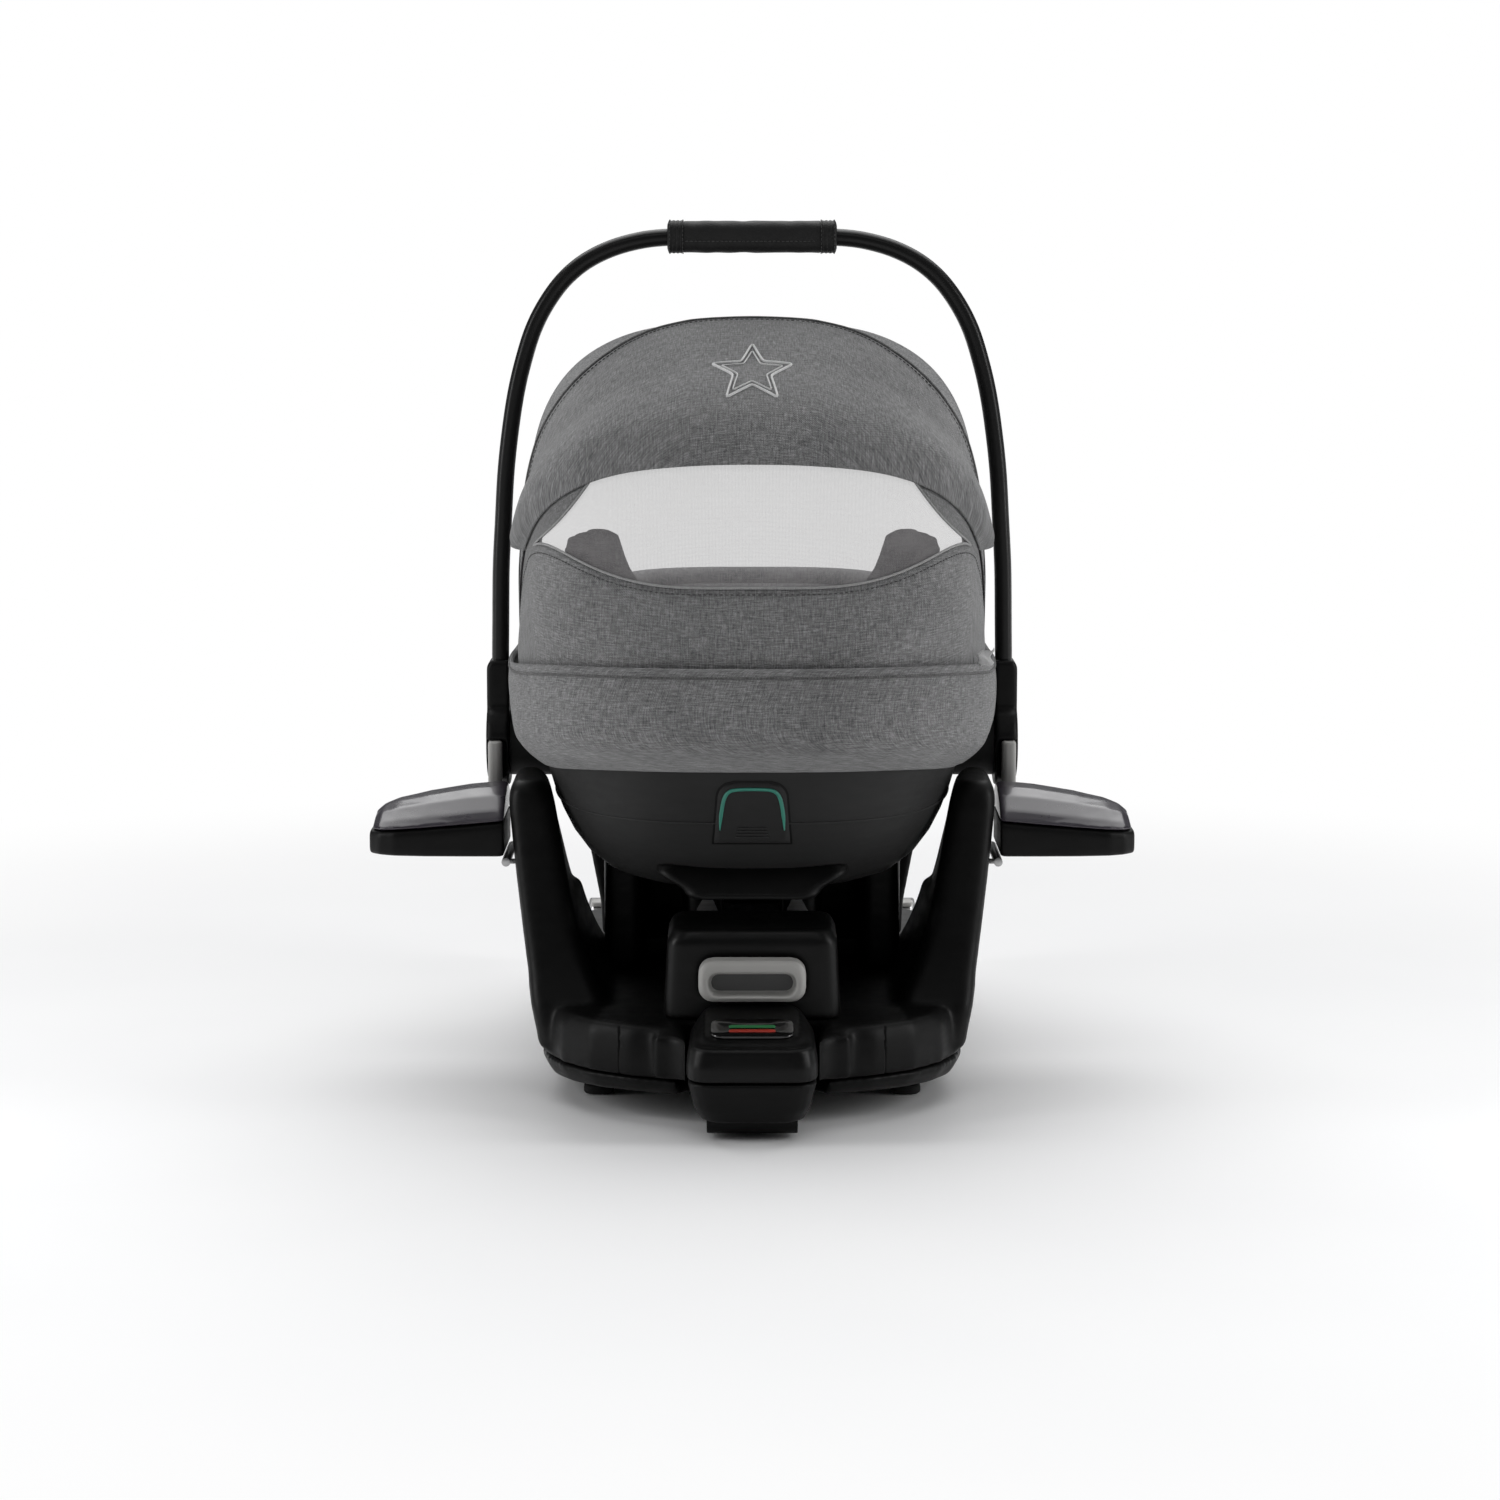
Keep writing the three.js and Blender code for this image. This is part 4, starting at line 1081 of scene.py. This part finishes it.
# seam bead along the front edge, and topstitching beside it
ride(tube("cap_seam_bead", [can(t, cap_lo(t), cap_off(t, cap_lo(t), 0) + 0.3) for t in ts], "melange_dark", r=1.3, sides=8), "canopy_mid")


def dashes(name, pts, mat, body, step=4.2, dash=2.7, r=0.42, lift=None):
    """Topstitching: short thread dashes along points in millimetres, one object."""
    p = np.asarray(pts, float)
    s = np.concatenate([[0], np.cumsum(np.linalg.norm(np.diff(p, axis=0), axis=1))])
    verts, faces, uv = [], [], []
    d = 0.0
    while d + dash < s[-1]:
        q = np.stack([np.interp(np.linspace(d, d + dash, 4), s, p[:, k]) for k in range(3)], 1)
        tdir = q[-1] - q[0]
        tdir /= np.linalg.norm(tdir) + 1e-9
        a = np.cross(tdir, (0.3, 0.2, 1))
        a /= np.linalg.norm(a) + 1e-9
        b = np.cross(a, tdir)
        base = len(verts)
        for k in range(4):
            rad = r * (0.55 if k in (0, 3) else 1)
            for m in range(6):
                th = m * math.pi / 3
                verts.append((q[k] + a * rad * math.cos(th) + b * rad * math.sin(th)) * MM)
                uv.append((th * r * MM, (d + k * dash / 3) * MM))
        for k in range(3):
            for m in range(6):
                w = (m + 1) % 6
                faces.append((base + k * 6 + m, base + k * 6 + w, base + (k + 1) * 6 + w, base + (k + 1) * 6 + m))
        faces.append(tuple(base + m for m in range(6)))
        faces.append(tuple(base + 18 + m for m in reversed(range(6))))
        d += step
    o = mesh_from(name, verts, faces, mat)
    cloth_attr(o, np.array(uv))
    outward(o)
    return ride(o, body)


def cap_line(kk):
    out = []
    for i, t in enumerate(ts[4:-4]):
        a, b = cap_lo(t), cap_hi(t)
        f = kk(a, b)
        k = (f - a) / (b - a)
        out.append(can(t, f, cap_off(t, f, k ** (1 / 0.92)) + 0.15))
    return out


dashes("cap_stitch_front", cap_line(lambda a, b: a + 1.1), "seam_thread", "canopy_mid")

# lighter cloth between the cap's seam and the middle bow
P = []
for t in np.linspace(-6.3, 6.3, 150):
    a, b = 97.6, cap_lo(t) + 1.4
    oc = cap_off(t, cap_lo(t), 0)
    P.append([can(t, lerp(a, b, k / 15), lerp(-0.5, oc - 1.3, k / 15) + 0.7 * math.exp(-(lerp(a, b, k / 15) - 98.6) ** 2)) for k in range(16)])
shoulder = grid("canopy_shoulder", np.array(P), "melange_light", thick=0.7, offset=-1)
face_out(shoulder, (0, 0.018, 0.305))
ride(shoulder, "canopy_mid")

# side cloth of the middle section, under the cap's tips and down to the pivots
for sgn, nm in ((1, "right"), (-1, "left")):
    tt = np.linspace(5.2, 9, 46)
    P = canopy_grid([sgn * t for t in tt], lambda t: list(np.linspace(98.3, 137.2, 30)), lambda t, f, k: -0.4 + 0.5 * math.sin(abs(t) * 2.3 + f / 7) * math.sin(math.pi * k))
    o = grid("canopy_side_" + nm, P, "melange", thick=0.8, offset=-1)
    face_out(o, (0, 0.018, 0.305))
    ride(o, "canopy_mid")
    for q, f in (("a", 121.0), ("b", 126.5)):
        ride(tube("canopy_side_seam_%s_%s" % (q, nm), [can(sgn * t, f, 0.3) for t in np.linspace(5.6, 8.8, 40)], "seam_thread", r=0.5, sides=6), "canopy_mid")

# front section, with a padded bow hem at the face opening
tf = np.linspace(-9, 9, 170)


def front_off(t, phi, k):
    bow = 1.6 * math.exp(-((phi - 58.9) / 2.0) ** 2)
    return -5.1 + bow - 2.6 * math.sin(math.pi * k) * (1 - 0.6 * ease(abs(t), 5, 8)) + wrinkle(t, phi + 40, 0.4) * math.sin(math.pi * k)


P = canopy_grid(tf, lambda t: list(np.linspace(57.4, 101.0, 46)), front_off)
roll = []
for i, t in enumerate(tf):
    r = prof_at(t)[1]
    c = []
    for k in range(1, 11):
        b = k / 10 * math.pi
        c.append(can(t, 57.4 - math.sin(b) * 3.0 / max(60, r) / DEG, -5.1 - 2.2 + 2.2 * math.cos(b)))
    for k in range(1, 7):
        c.append(can(t, 57.4 + k * 3.5 / max(60, r) / DEG, -5.1 - 4.4))
    roll.append(c[::-1])
P = np.concatenate([np.array(roll), P], axis=1)
front = grid("canopy_front", P, "melange_light", thick=0.9, offset=-1)
face_out(front, (0, 0.018, 0.305))
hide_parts("canopy_front_panel", "canopy_front_bow")
ride(front, "canopy_front")
dashes("front_stitch", [can(t, 60.8, front_off(t, 60.8, 0.08) + 0.2) for t in tf[2:-2]], "seam_thread", "canopy_front")

# rear section with the sheer window
def rear_lo(x):
    return 172.3


def win_lo(x):
    return 158.6 - 17.0 * min(1, abs(x) / 180) ** 3.6


def t_of_x(x):
    lo, hi = 0.0, 9.0
    for _ in range(40):
        m = (lo + hi) / 2
        lo, hi = (m, hi) if prof_at(m)[0] < abs(x) else (lo, m)
    return math.copysign((lo + hi) / 2, x)


T_BOT = t_of_x(176)
NA, NB, NW, NSD = 22, 18, 60, 34


def border(phi_share):
    return t_of_x(lerp(104, 176, phi_share))


cols = []
for i in range(NSD):
    cols.append(("s", -1, 1 - i / NSD))
for i in range(NW + 1):
    cols.append(("w", 0, lerp(-1, 1, i / NW)))
for i in range(1, NSD + 1):
    cols.append(("s", 1, i / NSD))


def rear_point(c, share, band, o):
    tb = border(share) if band < 0 else T_BOT
    t = c[2] * tb if c[0] == "w" else c[1] * lerp(tb, 9.0, c[2])
    x = prof_at(t)[0]
    wl = win_lo(x)
    if band < 0:
        phi = lerp(131.0, wl, share)
    else:
        phi = lerp(wl, rear_lo(x), band)
    return t, phi


def into_rim(p):
    """Low points are drawn in so that the cloth ends inside the skirt's top edge."""
    rho = ((abs(p[0]) / 195.0) ** PN + (abs(p[1] - SEAT_YC) / 317.0) ** PN) ** (1 / PN)
    if rho <= 1:
        return p
    k = lerp(1, 1 / rho, ease(rimZ(p[1]) + 52 - p[2], 0, 46))
    return np.array([p[0] * k, SEAT_YC + (p[1] - SEAT_YC) * k, p[2]])


P, WP = [], []
for c in cols:
    col, wc_ = [], []
    for j in range(NA + 1):
        t, phi = rear_point(c, j / NA, -1, 0)
        col.append(into_rim(can(t, phi, -2.7 + 0.25 * wrinkle(t, phi, 0.5))))
        wc_.append(can(t, phi, -3.4 - 1.0 * math.sin(math.pi * j / NA) * max(0, 1 - (abs(t) / 5) ** 4)))
    for j in range(1, NB + 1):
        t, phi = rear_point(c, 1, j / NB, 0)
        k = j / NB
        col.append(into_rim(can(t, phi, -2.7 + 1.3 * math.sin(math.pi * k) + wrinkle(t, phi, 0.5) * math.sin(math.pi * k))))
    P.append(col)
    WP.append(wc_)
P, WP = np.array(P), np.array(WP)
rear = grid("canopy_rear", P, "melange", skip=lambda i, j: NSD <= i < NSD + NW and j < NA, thick=0.9, offset=-1)
face_out(rear, (0, 0.018, 0.305))
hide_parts("canopy_rear_panel")
ride(rear, "carrier")
win = grid("window_net", WP[NSD - 1:NSD + NW + 2], "mesh_fabric")
face_out(win, (0, 0.018, 0.305))
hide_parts("canopy_window_mesh")
ride(win, "carrier")
edge = [P[NSD, j] for j in range(0, NA)] + [P[NSD + i, NA] for i in range(NW + 1)] + [P[NSD + NW, j] for j in range(NA - 1, -1, -1)]
ctr = np.array([0, CAN_Y, CAN_Z])


def out_by(p, d):
    v = p - np.array([0, CAN_Y, CAN_Z])
    v = v * (0.25, 1, 1)
    return p + v / np.linalg.norm(v) * d


ride(tube("window_piping", spline([out_by(p, 0.5) for p in edge[::2]], 220), "piping", r=1.0, sides=8), "carrier")
band = [out_by(P[i, NA + 1] * 0.7 + P[i, NA + 2] * 0.3, 0.45) for i in range(4, len(cols) - 4)]
dashes("window_stitch", band, "seam_thread", "carrier")

# embroidered emblem: an outlined star of raised satin stitch on the cap
def on_cap(x, f):
    t = t_of_x(x) if abs(x) > 1e-6 else 0.0
    a, b = cap_lo(t), cap_hi(t)
    k = (f - a) / (b - a)
    return can(t, f, cap_off(t, f, max(0, min(1, k)) ** (1 / 0.92)) + 0.35)


def star(name, R, r, cphi, rad):
    pts = []
    for k in range(10):
        q = R if k % 2 == 0 else r
        a = math.pi / 2 + k * math.pi / 5
        pts.append((q * math.cos(a), q * math.sin(a)))
    dense = []
    for k in range(10):
        a, b = np.array(pts[k]), np.array(pts[(k + 1) % 10])
        for m in range(9):
            dense.append(lerp(a, b, m / 9))
    d = np.array(dense)
    d = (np.roll(d, 1, 0) + 2 * d + np.roll(d, -1, 0)) / 4
    line = [on_cap(float(p[0]), cphi - 1.6 * float(p[1]) / CAN_R / DEG) for p in d]
    o = tube(name, line, "emblem_thread", closed=True, prof=lambda i, t: [(rad * (1.0 + 0.07 * (i % 2)) * math.cos(k * math.pi / 4), 0.55 * rad * math.sin(k * math.pi / 4)) for k in range(8)])
    return ride(o, "canopy_mid")


star("emblem_star_outer", 34, 15.5, 121.0, 1.6)
star("emblem_star_inner", 26, 11.8, 121.0, 1.0)

# small blank care label at the skirt's corner
q0 = SK[int(0.885 * NSK), 5]
lab = []
for i in range(9):
    lab.append([q0 + np.array([-5 + 1.15 * j - 1.6 * math.sin(i * 0.8 + j * 0.5), -2.4 - 1.3 * math.sin(j * 0.8 + i * 0.9), 3 + 1.5 * i + 0.5 * j - 1.0 * math.sin(j * 0.9)]) for j in range(12)])
label = grid("care_label", np.array(lab), "label_cloth", thick=0.35, offset=0)
ride(label, "carrier")

# ------------------------------------------------------------------ carry handle
SIDE = [(211.5, 300), (211.5, 330), (211, 365), (210.2, 410), (208, 450), (205.5, 490), (201.5, 525), (196.5, 556), (190, 583), (181.5, 609), (170, 631), (155.5, 650), (138, 664.5), (117, 675), (94, 681.5), (72, 684.2), (40, 685), (0, 685)]
hl = [(-x, 0, z) for x, z in SIDE] + [(x, 0, z) for x, z in SIDE[:-1][::-1]]
hp = spline(hl, 220)


def oval(w, d, n=28, p=2.6):
    out = []
    for k in range(n):
        a = 2 * math.pi * k / n
        c, s = math.cos(a), math.sin(a)
        out.append((math.copysign(abs(c) ** (2 / p), c) * w / 2, math.copysign(abs(s) ** (2 / p), s) * d / 2))
    return out


handle = tube("handle_bow", hp, "tube_black", prof=lambda i, t: oval(14.2, 24.2), up=(0, 1, 0))
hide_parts("handle_tube")
ride(handle, "handle")


# leather sleeve, slightly slack, gathered under two stitched bands, closed by a seam underneath
def grip_sec(x):
    ax = abs(x)
    w, d = 26.2, 34.6
    if ax > 68.6:
        k = (70 - ax) / 1.4
        w, d = lerp(20, 26.6, math.sqrt(max(0, k))), lerp(29, 35, math.sqrt(max(0, k)))
    elif ax > 58:
        w, d = 27.0 + 0.55 * math.cos((ax - 58) * 2 * math.pi / 3.4), 35.2 + 0.5 * math.cos((ax - 58) * 2 * math.pi / 3.4)
    elif ax > 56.4:
        w, d = 25.2, 33.8
    else:
        w += 0.25 * math.sin(x / 6.5) + 0.2 * math.sin(x / 3.1 + 1)
    sec = oval(w, d, 44, 3.0)
    out = []
    for u, v in sec:
        q = 0.35 * math.sin(x / 4.0 + v / 5) * (1 if ax < 56 else 0)
        # seam ridge on the underside
        if u > 0 and abs(v) < 2.2:
            u -= 0.9 * math.exp(-(v / 0.9) ** 2)
        out.append((u + (q if u > 0 else -q) * 0.4, v))
    return out


gx = np.linspace(-70, 70, 190)
grip = tube("leather_grip", [(x, 0, 684.8) for x in gx], "leather", prof=lambda i, t: grip_sec(gx[i]), up=(0, 1, 0))
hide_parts("handle_grip")
ride(grip, "handle")
for sgn, nm in ((1, "right"), (-1, "left")):
    for k, xx in enumerate((57.2, 68.0)):
        ring = [(sgn * xx, 0 + 17.9 * math.copysign(abs(math.cos(a)) ** 0.67, math.cos(a)), 684.8 + 13.85 * math.copysign(abs(math.sin(a)) ** 0.67, math.sin(a))) for a in np.linspace(0, 2 * math.pi, 60, endpoint=False)]
        dashes("grip_stitch_%s_%d" % (nm, k), ring + ring[:1], "seam_thread", "handle", step=3.4, dash=2.2, r=0.4)
dashes("grip_seam_front", [(x, -17.3, 681.2) for x in np.linspace(-55, 55, 40)], "seam_thread", "handle", step=3.6, dash=2.4, r=0.4)

hub_r = soften("hub_shell_right", ["handle_hub_right"], "base_plastic", voxel=1.3, iterations=4, taubin=8)
outward(hub_r)
ride(hub_r, "handle")
hub_l = mirrored(hub_r, "hub_shell_left")
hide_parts("handle_hub_left")
ride(hub_l, "handle")
btn_r = soften("hub_button_right", ["handle_button_right"], "grey_button", voxel=0.8, iterations=4, taubin=4)
ride(btn_r, "handle_button_right")
btn_l = mirrored(btn_r, "hub_button_left")
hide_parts("handle_button_left")
ride(btn_l, "handle_button_left")
for nd in ("hub_mount_right", "hub_mount_left"):
    bevelled(nd, "shell_plastic", 1.2, 3)
for sgn, nm in ((1, "right"), (-1, "left")):
    ring = [(sgn * 221.6, 27 * math.cos(a), HUB_Z + 27 * math.sin(a)) for a in np.linspace(0, 2 * math.pi, 72, endpoint=False)]
    ride(tube("hub_ring_" + nm, ring, "cover_plastic", r=0.9, sides=8, closed=True), "handle")

# ------------------------------------------------------------------ padding and harness
# seat pad: quilted, with a padded roll over the rim
RP = [0.02, 0.1, 0.18, 0.26, 0.34, 0.42, 0.5, 0.58, 0.65, 0.71, 0.76, 0.8, 0.84, 0.87, 0.9, 0.925, 0.945, 0.962, 0.975, 0.985, 0.992, 0.997]
NPD = 200
pads = []
Wp, Lp = SHELL_W - 31, SHELL_L - 31
for a in ring_angles(NPD):
    dx, dy = plan(a)
    col = []
    for r in RP:
        x, y = r * Wp * dx, SEAT_YC + r * Lp * dy
        z = pad_z(x, y)
        ch = 0.0
        for yc in (-178, -128, -78, 132, 178, 224):
            ch += math.exp(-((y - yc + 0.012 * x * x / 10) / 3.2) ** 2)
        inside = 1 - ease(r, 0.86, 0.95)
        puff = 1.6 * abs(math.sin((y + 178) / 50 * math.pi)) * inside
        col.append((x, y, z + puff - 2.4 * ch * inside))
    zr = rimZ(SEAT_YC + SHELL_L * dy)
    far = ease(-dy, 0.55, 0.8)
    for w, z in ((Wp + 1.0, zr - 9), (Wp + 2.0, zr + 1.5), (Wp + 7, zr + 6.2), (Wp + 15, zr + 8.2 - 1.2 * far), (Wp + 24, zr + 7.2 - 1.8 * far), (Wp + 31, zr + 4.0 - 1.6 * far), (Wp + 34, zr + 0.4), (Wp + 34.4, zr - 5)):
        col.append((w * dx, SEAT_YC + (w + SHELL_L - SHELL_W) * dy, z))
    pads.append(spline(col, 72))
pad = grid("seat_padding", np.array(pads), "melange", wrap=True, thick=1.6, offset=-1)
bm = bmesh.new()
bm.from_mesh(pad.data)
small = [e for e in bm.edges if len(e.link_faces) == 1 and e.verts[0].co.xy.length < 0.04 + abs(0.025)]
bmesh.ops.holes_fill(bm, edges=small, sides=0)
bm.to_mesh(pad.data)
bm.free()
pad.data.shade_smooth()
co = np.array([v.co for v in pad.data.vertices])
cloth_attr(pad, np.stack([co[:, 0] * 1.15, co[:, 1] + 0.7 * co[:, 2]], 1))
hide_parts("seat_pad", "foam_liner")
ride(pad, "carrier")

hr = copy_nodes("head_support", "headrest")
give(hr, "melange")
hr = inflate(hr, 3.0, 6.0, voxel=4.5)
# the side wings stand wide and full above a lower middle
for v in hr.data.vertices:
    x, z = v.co.x / MM, v.co.z / MM
    up = float(smoothstep((z - 396) / 46))
    side = float(smoothstep((abs(x) - 62) / 34))
    v.co.z += (7.0 * side - 17.0 * (1 - side)) * up * MM
    v.co.x += math.copysign(max(-9.0, min(15.0, (abs(x) - 106) * 0.62)), x) * up * side * MM
planar_cloth(hr, "side")
give(hr, "melange")
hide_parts("headrest")
ride(hr, "headrest")

ins = copy_nodes("newborn_cushion", "newborn_insert")
ins = inflate(ins, 3.5, 5.0, voxel=5.0)
bm = bmesh.new()
bm.from_mesh(ins.data)
bm.normal_update()
for v in bm.verts:
    if v.normal.z > 0.25:
        x, y = v.co.x / MM, v.co.y / MM
        ch = sum(math.exp(-((y - yc) / 3.0) ** 2) for yc in (-100, -50, 0, 50)) + 0.8 * math.exp(-((abs(x) - 52) / 3.0) ** 2)
        v.co -= v.normal * 2.2 * MM * min(1, ch)
bm.to_mesh(ins.data)
bm.free()
ins.data.shade_smooth()
planar_cloth(ins, "top")
give(ins, "melange_dark")
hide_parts("newborn_insert")
ride(ins, "carrier")

sp = copy_nodes("shoulder_cushion_right", "shoulder_pad_right")
sp = inflate(sp, 2.5, 2.0, voxel=2.2)
planar_cloth(sp, "top")
give(sp, "melange_dark")
sp2 = mirrored(sp, "shoulder_cushion_left")
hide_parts("shoulder_pad_right")
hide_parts("shoulder_pad_left")
ride(sp, "carrier")
ride(sp2, "carrier")


def webbing_strip(name, pts, w, th, body):
    """A flat belt through points (x, y, z) in millimetres: w wide across X, th thick."""
    p = spline(pts, 90)
    T = np.gradient(p, axis=0)
    T /= np.linalg.norm(T, axis=1)[:, None]
    return tube(name, p, "webbing", prof=lambda i, t: rr(w, th, th * 0.48, 3), up=(0, 0, 1))


for sgn, nm in ((1, "right"), (-1, "left")):
    pts = []
    for k in range(12):
        x, y = lerp(42, 19, k / 11), lerp(-168, 38, k / 11)
        pts.append((sgn * x, y, pad_z(x, y, 29.6)))
    o = webbing_strip("harness_belt_" + nm, pts, 29, 1.6, "carrier")
    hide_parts("harness_strap_" + nm)
    ride(o, "carrier")
bevelled("crotch_strap", "webbing", 0.5, 2)
planar_cloth(NODES["crotch_strap"], "side")
bk = soften("buckle_body", ["harness_buckle"], "cover_plastic", voxel=1.0, iterations=4, taubin=6)
ride(bk, "carrier")
bb = soften("buckle_release", ["buckle_button"], "red_plastic", voxel=0.7, iterations=3, taubin=4)
ride(bb, "buckle_button")
bevelled("harness_adjuster", "grey_button", 0.8, 3)

# ------------------------------------------------------------------ vehicle base
# arms flow into the front deck: extra fillets at their roots
PLANB = [(0, -290), (30, -289.5), (62, -285), (96, -273), (128, -252), (151, -224), (165, -190), (171, -150), (170, -110), (167, 190), (163, 222), (148, 246), (124, 257), (60, 260), (0, 260)]


def arm_shape(z):
    u = min(1, max(0, (z - 30) / 212))
    t = u * (1.36 - 0.36 * u)
    return [lerp(112, 161, t), lerp(118, 168, t), lerp(168, 198, t), lerp(-205, -146, t), lerp(60, -48, t)]


def solid_rings(name, rings):
    R = np.array(rings, float)
    n, m = R.shape[:2]
    faces = [(i * m + k, i * m + (k + 1) % m, (i + 1) * m + (k + 1) % m, (i + 1) * m + k) for i in range(n - 1) for k in range(m)]
    faces += [tuple(range(m)), tuple((n - 1) * m + k for k in reversed(range(m)))]
    return outward(mesh_from(name, R.reshape(-1, 3) * MM, faces, "base_plastic"))


def flare(sgn):
    rings = []
    for z in np.linspace(42, 150, 28):
        t = (z - 42) / 108
        g = 24 * (1 - t) ** 2.2
        xf, xr, xo, yf, yb = arm_shape(max(76, z))
        if z < 96:
            xo = lerp(169.5, arm_shape(96)[2], ease(z, 30, 96))
        ring = []
        for u, v in rr((xo - xf) + g, (yb - yf) + 1.5 * g, 13, 5):
            ring.append((sgn * ((xo + xf) / 2 - g / 2 + u + 0.4 * (1 - t)), (yf + yb) / 2 + v, z))
        rings.append(ring)
    return solid_rings("flare", rings)


def cheek(sgn):
    """Concave fillet between the deck's front face and the nose."""
    rings = []
    for z in np.linspace(37.5, 72, 6):
        k = 1 - 0.10 * max(0.0, (z - 60) / 12)
        arc = [(51.5 + 24 * (1 - math.sin(a)), -286 - 24 * (1 - math.cos(a)) * k) for a in np.linspace(0, math.pi / 2, 9)]
        ring = [(sgn * x, y, z) for x, y in arc[::-1]] + [(sgn * 80, -262, z), (sgn * 51.5, -262, z)]
        rings.append(ring)
    return solid_rings("cheek", rings)


base = soften("base_housing", ["base_cover", "side_arm_right", "side_arm_left"], "base_plastic", voxel=2.6, iterations=7, taubin=14, extra=[flare(1), flare(-1), cheek(1), cheek(-1)])
front_face = lambda c, nrm: c.y < -150 and 37 < c.z < 74 and nrm.y < -0.15
for xx in (-104, 104):
    groove(base, 0, xx, 1.8, 1.8, front_face)
ride(base, "base")
tray = soften("base_lower_tray", ["base_tray"], "base_plastic", voxel=2.6, iterations=6, taubin=12)
ride(tray, "base")
deck = soften("adjuster_deck", ["adjuster_housing"], "cover_plastic", voxel=1.7, iterations=8, taubin=10)
ride(deck, "base")
pull = soften("adjuster_loop", ["adjuster_pull"], "grey_button", voxel=1.0, iterations=6, taubin=8)
ride(pull, "adjuster_pull")
pf = []
for u, v in rr(66, 15.5, 6, 6):
    pf.append((u, -256.6, 108 + v))
pocket = mesh_from("adjuster_pocket", np.array(pf) * MM, [tuple(range(len(pf)))], "pocket_grey", smooth=False)
ride(pocket, "adjuster_pull")
nose = soften("nose_upper", ["nose_cover"], "cover_plastic", voxel=1.5, iterations=8, taubin=10)
for v in nose.data.vertices:
    v.co.x *= 0.9
ride(nose, "base")
nose2 = soften("nose_lower", ["nose_tray"], "base_plastic", voxel=1.6, iterations=6, taubin=10)
for v in nose2.data.vertices:
    v.co.x *= 0.9
ride(nose2, "base")
bevelled("indicator_window", "window_plastic", 0.5, 2)
bevelled("indicator_green", "green_plastic", 0.2, 2)
bevelled("indicator_red", "red_plastic", 0.2, 2)

wing_r = soften("wing_lower_right", ["wing_body_right"], "base_plastic", voxel=1.5, iterations=5, taubin=10)
for v in wing_r.data.vertices:
    u = max(0.0, min(1.0, (v.co.x / MM - 201) / 108))
    top = float(smoothstep((v.co.z / MM - 196) / 10))
    v.co.z += 9.5 * (1 - u) * top * MM
ride(wing_r, "wing_right")
wing_l = mirrored(wing_r, "wing_lower_left")
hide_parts("wing_body_left")
ride(wing_l, "wing_left")
wc_r = soften("wing_upper_right", ["wing_cover_right"], "gloss_plastic", voxel=1.5, iterations=9, taubin=12)
for v in wc_r.data.vertices:
    x, z = v.co.x / MM, v.co.z / MM
    u = max(0.0, min(1.0, (x - 201) / 108))
    w = max(0.0, min(1.0, (z - 207) / 32))
    v.co.z += (9.5 * (1 - u) * (1 - w) - 6.5 * float(smoothstep(u / 0.85)) * w) * MM
ride(wc_r, "wing_right")
wc_l = mirrored(wc_r, "wing_upper_left")
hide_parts("wing_cover_left")
ride(wc_l, "wing_left")
for nd in ("wing_hinge_pin_right", "wing_hinge_pin_left"):
    bevelled(nd, "steel", 0.4, 2)

bevelled("leg_outer_tube", "base_plastic", 1.4, 3, 28)
bevelled("leg_inner_tube", "steel", 0.8, 2)
foot = soften("leg_shoe", ["leg_foot"], "rubber", voxel=1.4, iterations=4, taubin=6)
ride(foot, "leg_slider")
bevelled("leg_height_button", "grey_button", 0.5, 2)
for s in ("right", "left"):
    bevelled("connector_arm_" + s, "steel", 0.8, 2)
    bevelled("connector_button_" + s, "grey_button", 0.6, 2)
    bevelled("foot_pad_" + s, "rubber", 1.0, 2)
cradle = soften("docking_posts", ["dock_cradle"], "base_plastic", voxel=1.8, iterations=6, taubin=8)
ride(cradle, "base")
for sg, nm in ((1, "right"), (-1, "left")):
    tri = [(sg * x, y, z) for y in (-71.2, -69.0) for x, z in ((28, 130.5), (46.5, 130.5), (36.5, 149))]
    gd = mesh_from("latch_guide_" + nm, np.array(tri) * MM, [(0, 1, 2), (5, 4, 3), (0, 3, 4, 1), (1, 4, 5, 2), (2, 5, 3, 0)], "steel", smooth=False)
    ride(outward(gd), "base")
latch = soften("docking_latch", ["dock_latch"], "cover_plastic", voxel=1.6, iterations=6, taubin=8)
ride(latch, "base")


bpy.context.view_layer.update()
